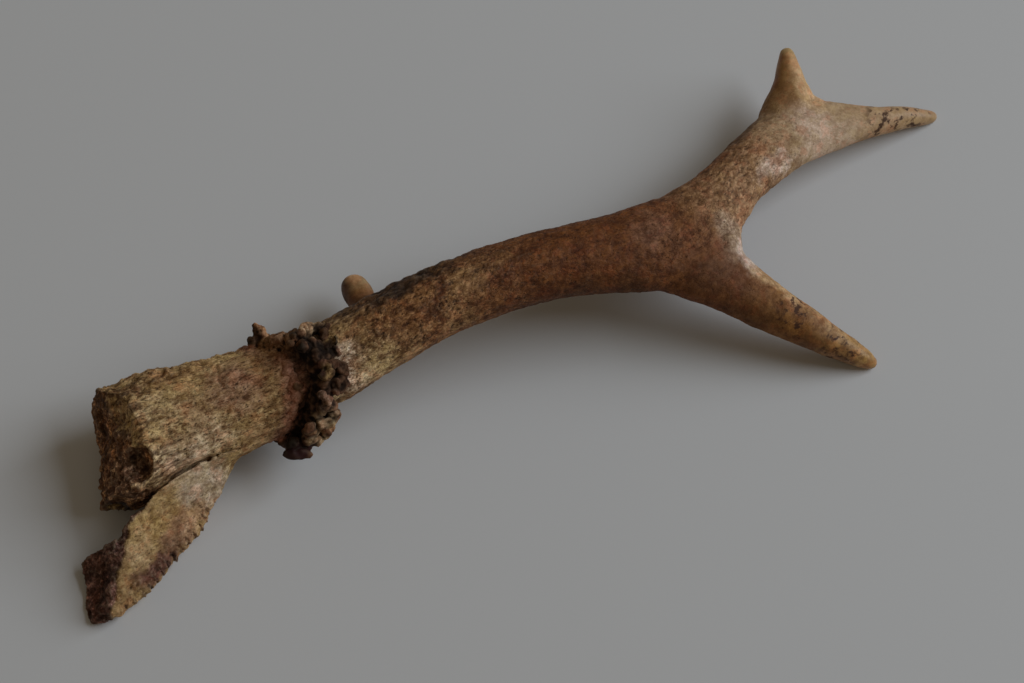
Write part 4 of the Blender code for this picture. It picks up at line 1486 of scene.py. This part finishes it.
def skull_material(groups):
    """Dry skull bone: fibrous with dark slits, and spongy and brown where it is broken."""
    material, tree, shader = new_material("skull_bone")
    place, straight = places_on_piece(tree)
    broken, mottled, grain = attributes(tree, "broken", "mottled", "grain")
    fibrous = times(tree, math_node(tree, "SUBTRACT", 1.0, broken), mottled)
    strength = total(tree, fibrous, broken)
    colour, specks = bone_pattern(tree, groups, (place, straight), grain, strength, 0.84)
    strands = placed(tree, groups["strands"], Place=straight, Along=3.4, Across=0.55, Gap=0.47)
    slits = placed(tree, groups["pores"], Place=straight, Size=0.55, Stretch=2.6, Width=0.42, Share=0.35)
    fine = placed(tree, groups["pores"], Place=straight, Size=0.38, Stretch=1.5, Width=0.48, Share=0.4)
    sponge = placed(tree, groups["pores"], Place=place, Size=0.85, Stretch=1.0, Width=0.8, Share=0.8)
    layers = [
        (times(tree, strands["Gap"], 0.75, fibrous), turned(tree, colour, DARK_SHARE)),
        (times(tree, slits["Pore"], 0.65, fibrous), SKULL_PORE),
        (times(tree, fine["Pore"], 0.5, fibrous), SKULL_PORE),
    ]
    colour = layered(tree, colour, layers)
    walls = times(tree, math_node(tree, "SUBTRACT", 1.0, sponge["Pore"]), broken, mottled)
    flecks = times(tree, walls, specks["Light"])
    colour = mixed(tree, flecks, colour, turned(tree, colour, FLECK_SHARE))
    # Hollows darkened as dirt and painted shade, ridges rubbed pale.
    worn = placed(tree, groups["wear"], Colour=colour, Dirt_Share=0.6, Wear_Share=0.22)
    heights = [
        times(tree, strands["Strand"], 0.9, fibrous),
        times(tree, specks["Height"], 1.6, fibrous),
        times(tree, slits["Pore"], -1.0, fibrous),
        times(tree, fine["Pore"], -0.5, fibrous),
        times(tree, sponge["Pore"], -1.4, broken),
    ]
    dull = total(tree, 0.66, times(tree, specks["Dark"], 0.12))
    finish(tree, shader, worn["Colour"], 0.2, dull, heights)
    return material


def make_floor():
    """The plain pale table top."""
    bm = bmesh.new()
    bmesh.ops.create_grid(bm, x_segments=1, y_segments=1, size=FLOOR_HALF_WIDTH)
    floor = object_of("floor", bm)
    material, _, shader = new_material("pale_floor")
    shader.inputs["Base Color"].default_value = FLOOR_GREY
    shader.inputs["Roughness"].default_value = 0.6
    shader.inputs["Specular IOR Level"].default_value = 0.2
    floor.data.materials.append(material)


def make_camera():
    data = bpy.data.cameras.new("camera")
    camera = linked("camera", data)
    back = VIEW_BACK.normalized()
    turn = Matrix((VIEW_RIGHT, back.cross(VIEW_RIGHT), back)).transposed()
    camera.matrix_world = Matrix.Translation((AIM + back * DISTANCE) * MM) @ turn.to_4x4()
    data.sensor_width = SENSOR
    data.lens = SENSOR * FOCUS_PIXELS / PICTURE_WIDTH
    data.clip_start = 0.01
    data.clip_end = 20.0
    bpy.context.scene.camera = camera


def make_light(name, place, size, power, colour):
    """A square soft light at the place, in metres, that faces the object."""
    data = bpy.data.lights.new(name, "AREA")
    data.shape = "SQUARE"
    data.size = size
    data.energy = power
    data.color = colour
    light = linked(name, data)
    light.location = place
    light.rotation_euler = (Vector((0, 0, 0.02)) - Vector(place)).to_track_quat("-Z", "Y").to_euler()


def make_studio():
    """A wide soft light from the tips' side and a warm, even surround."""
    make_light("side_light", (2.60, -0.80, 1.90), 2.3, 69.0, (0.84, 0.92, 1.0))
    world = bpy.data.worlds.new("surround")
    world.use_nodes = True
    background = world.node_tree.nodes["Background"]
    background.inputs["Color"].default_value = (1.0, 0.83, 0.60, 1)
    background.inputs["Strength"].default_value = 0.13
    bpy.context.scene.world = world
    bpy.context.scene.view_settings.view_transform = "Standard"


def main():
    groups = {
        "strands": fibre_group(),
        "pores": pore_group(),
        "beads": bead_group(),
        "mottle": mottle_group(),
        "wear": wear_group(),
    }
    beam = antler_material(groups, "antler", 0.30, wear=0.15, dirt_and_shade=0.75, gloss=0.26, roughness=0.62)
    crust = antler_material(groups, "burr_crust", 0.10, wear=0.04, dirt_and_shade=0.9, gloss=0.12, roughness=0.72)
    make_antler(beam)
    make_burr(crust)
    make_skull(skull_material(groups))
    make_floor()
    make_camera()
    make_studio()


main()
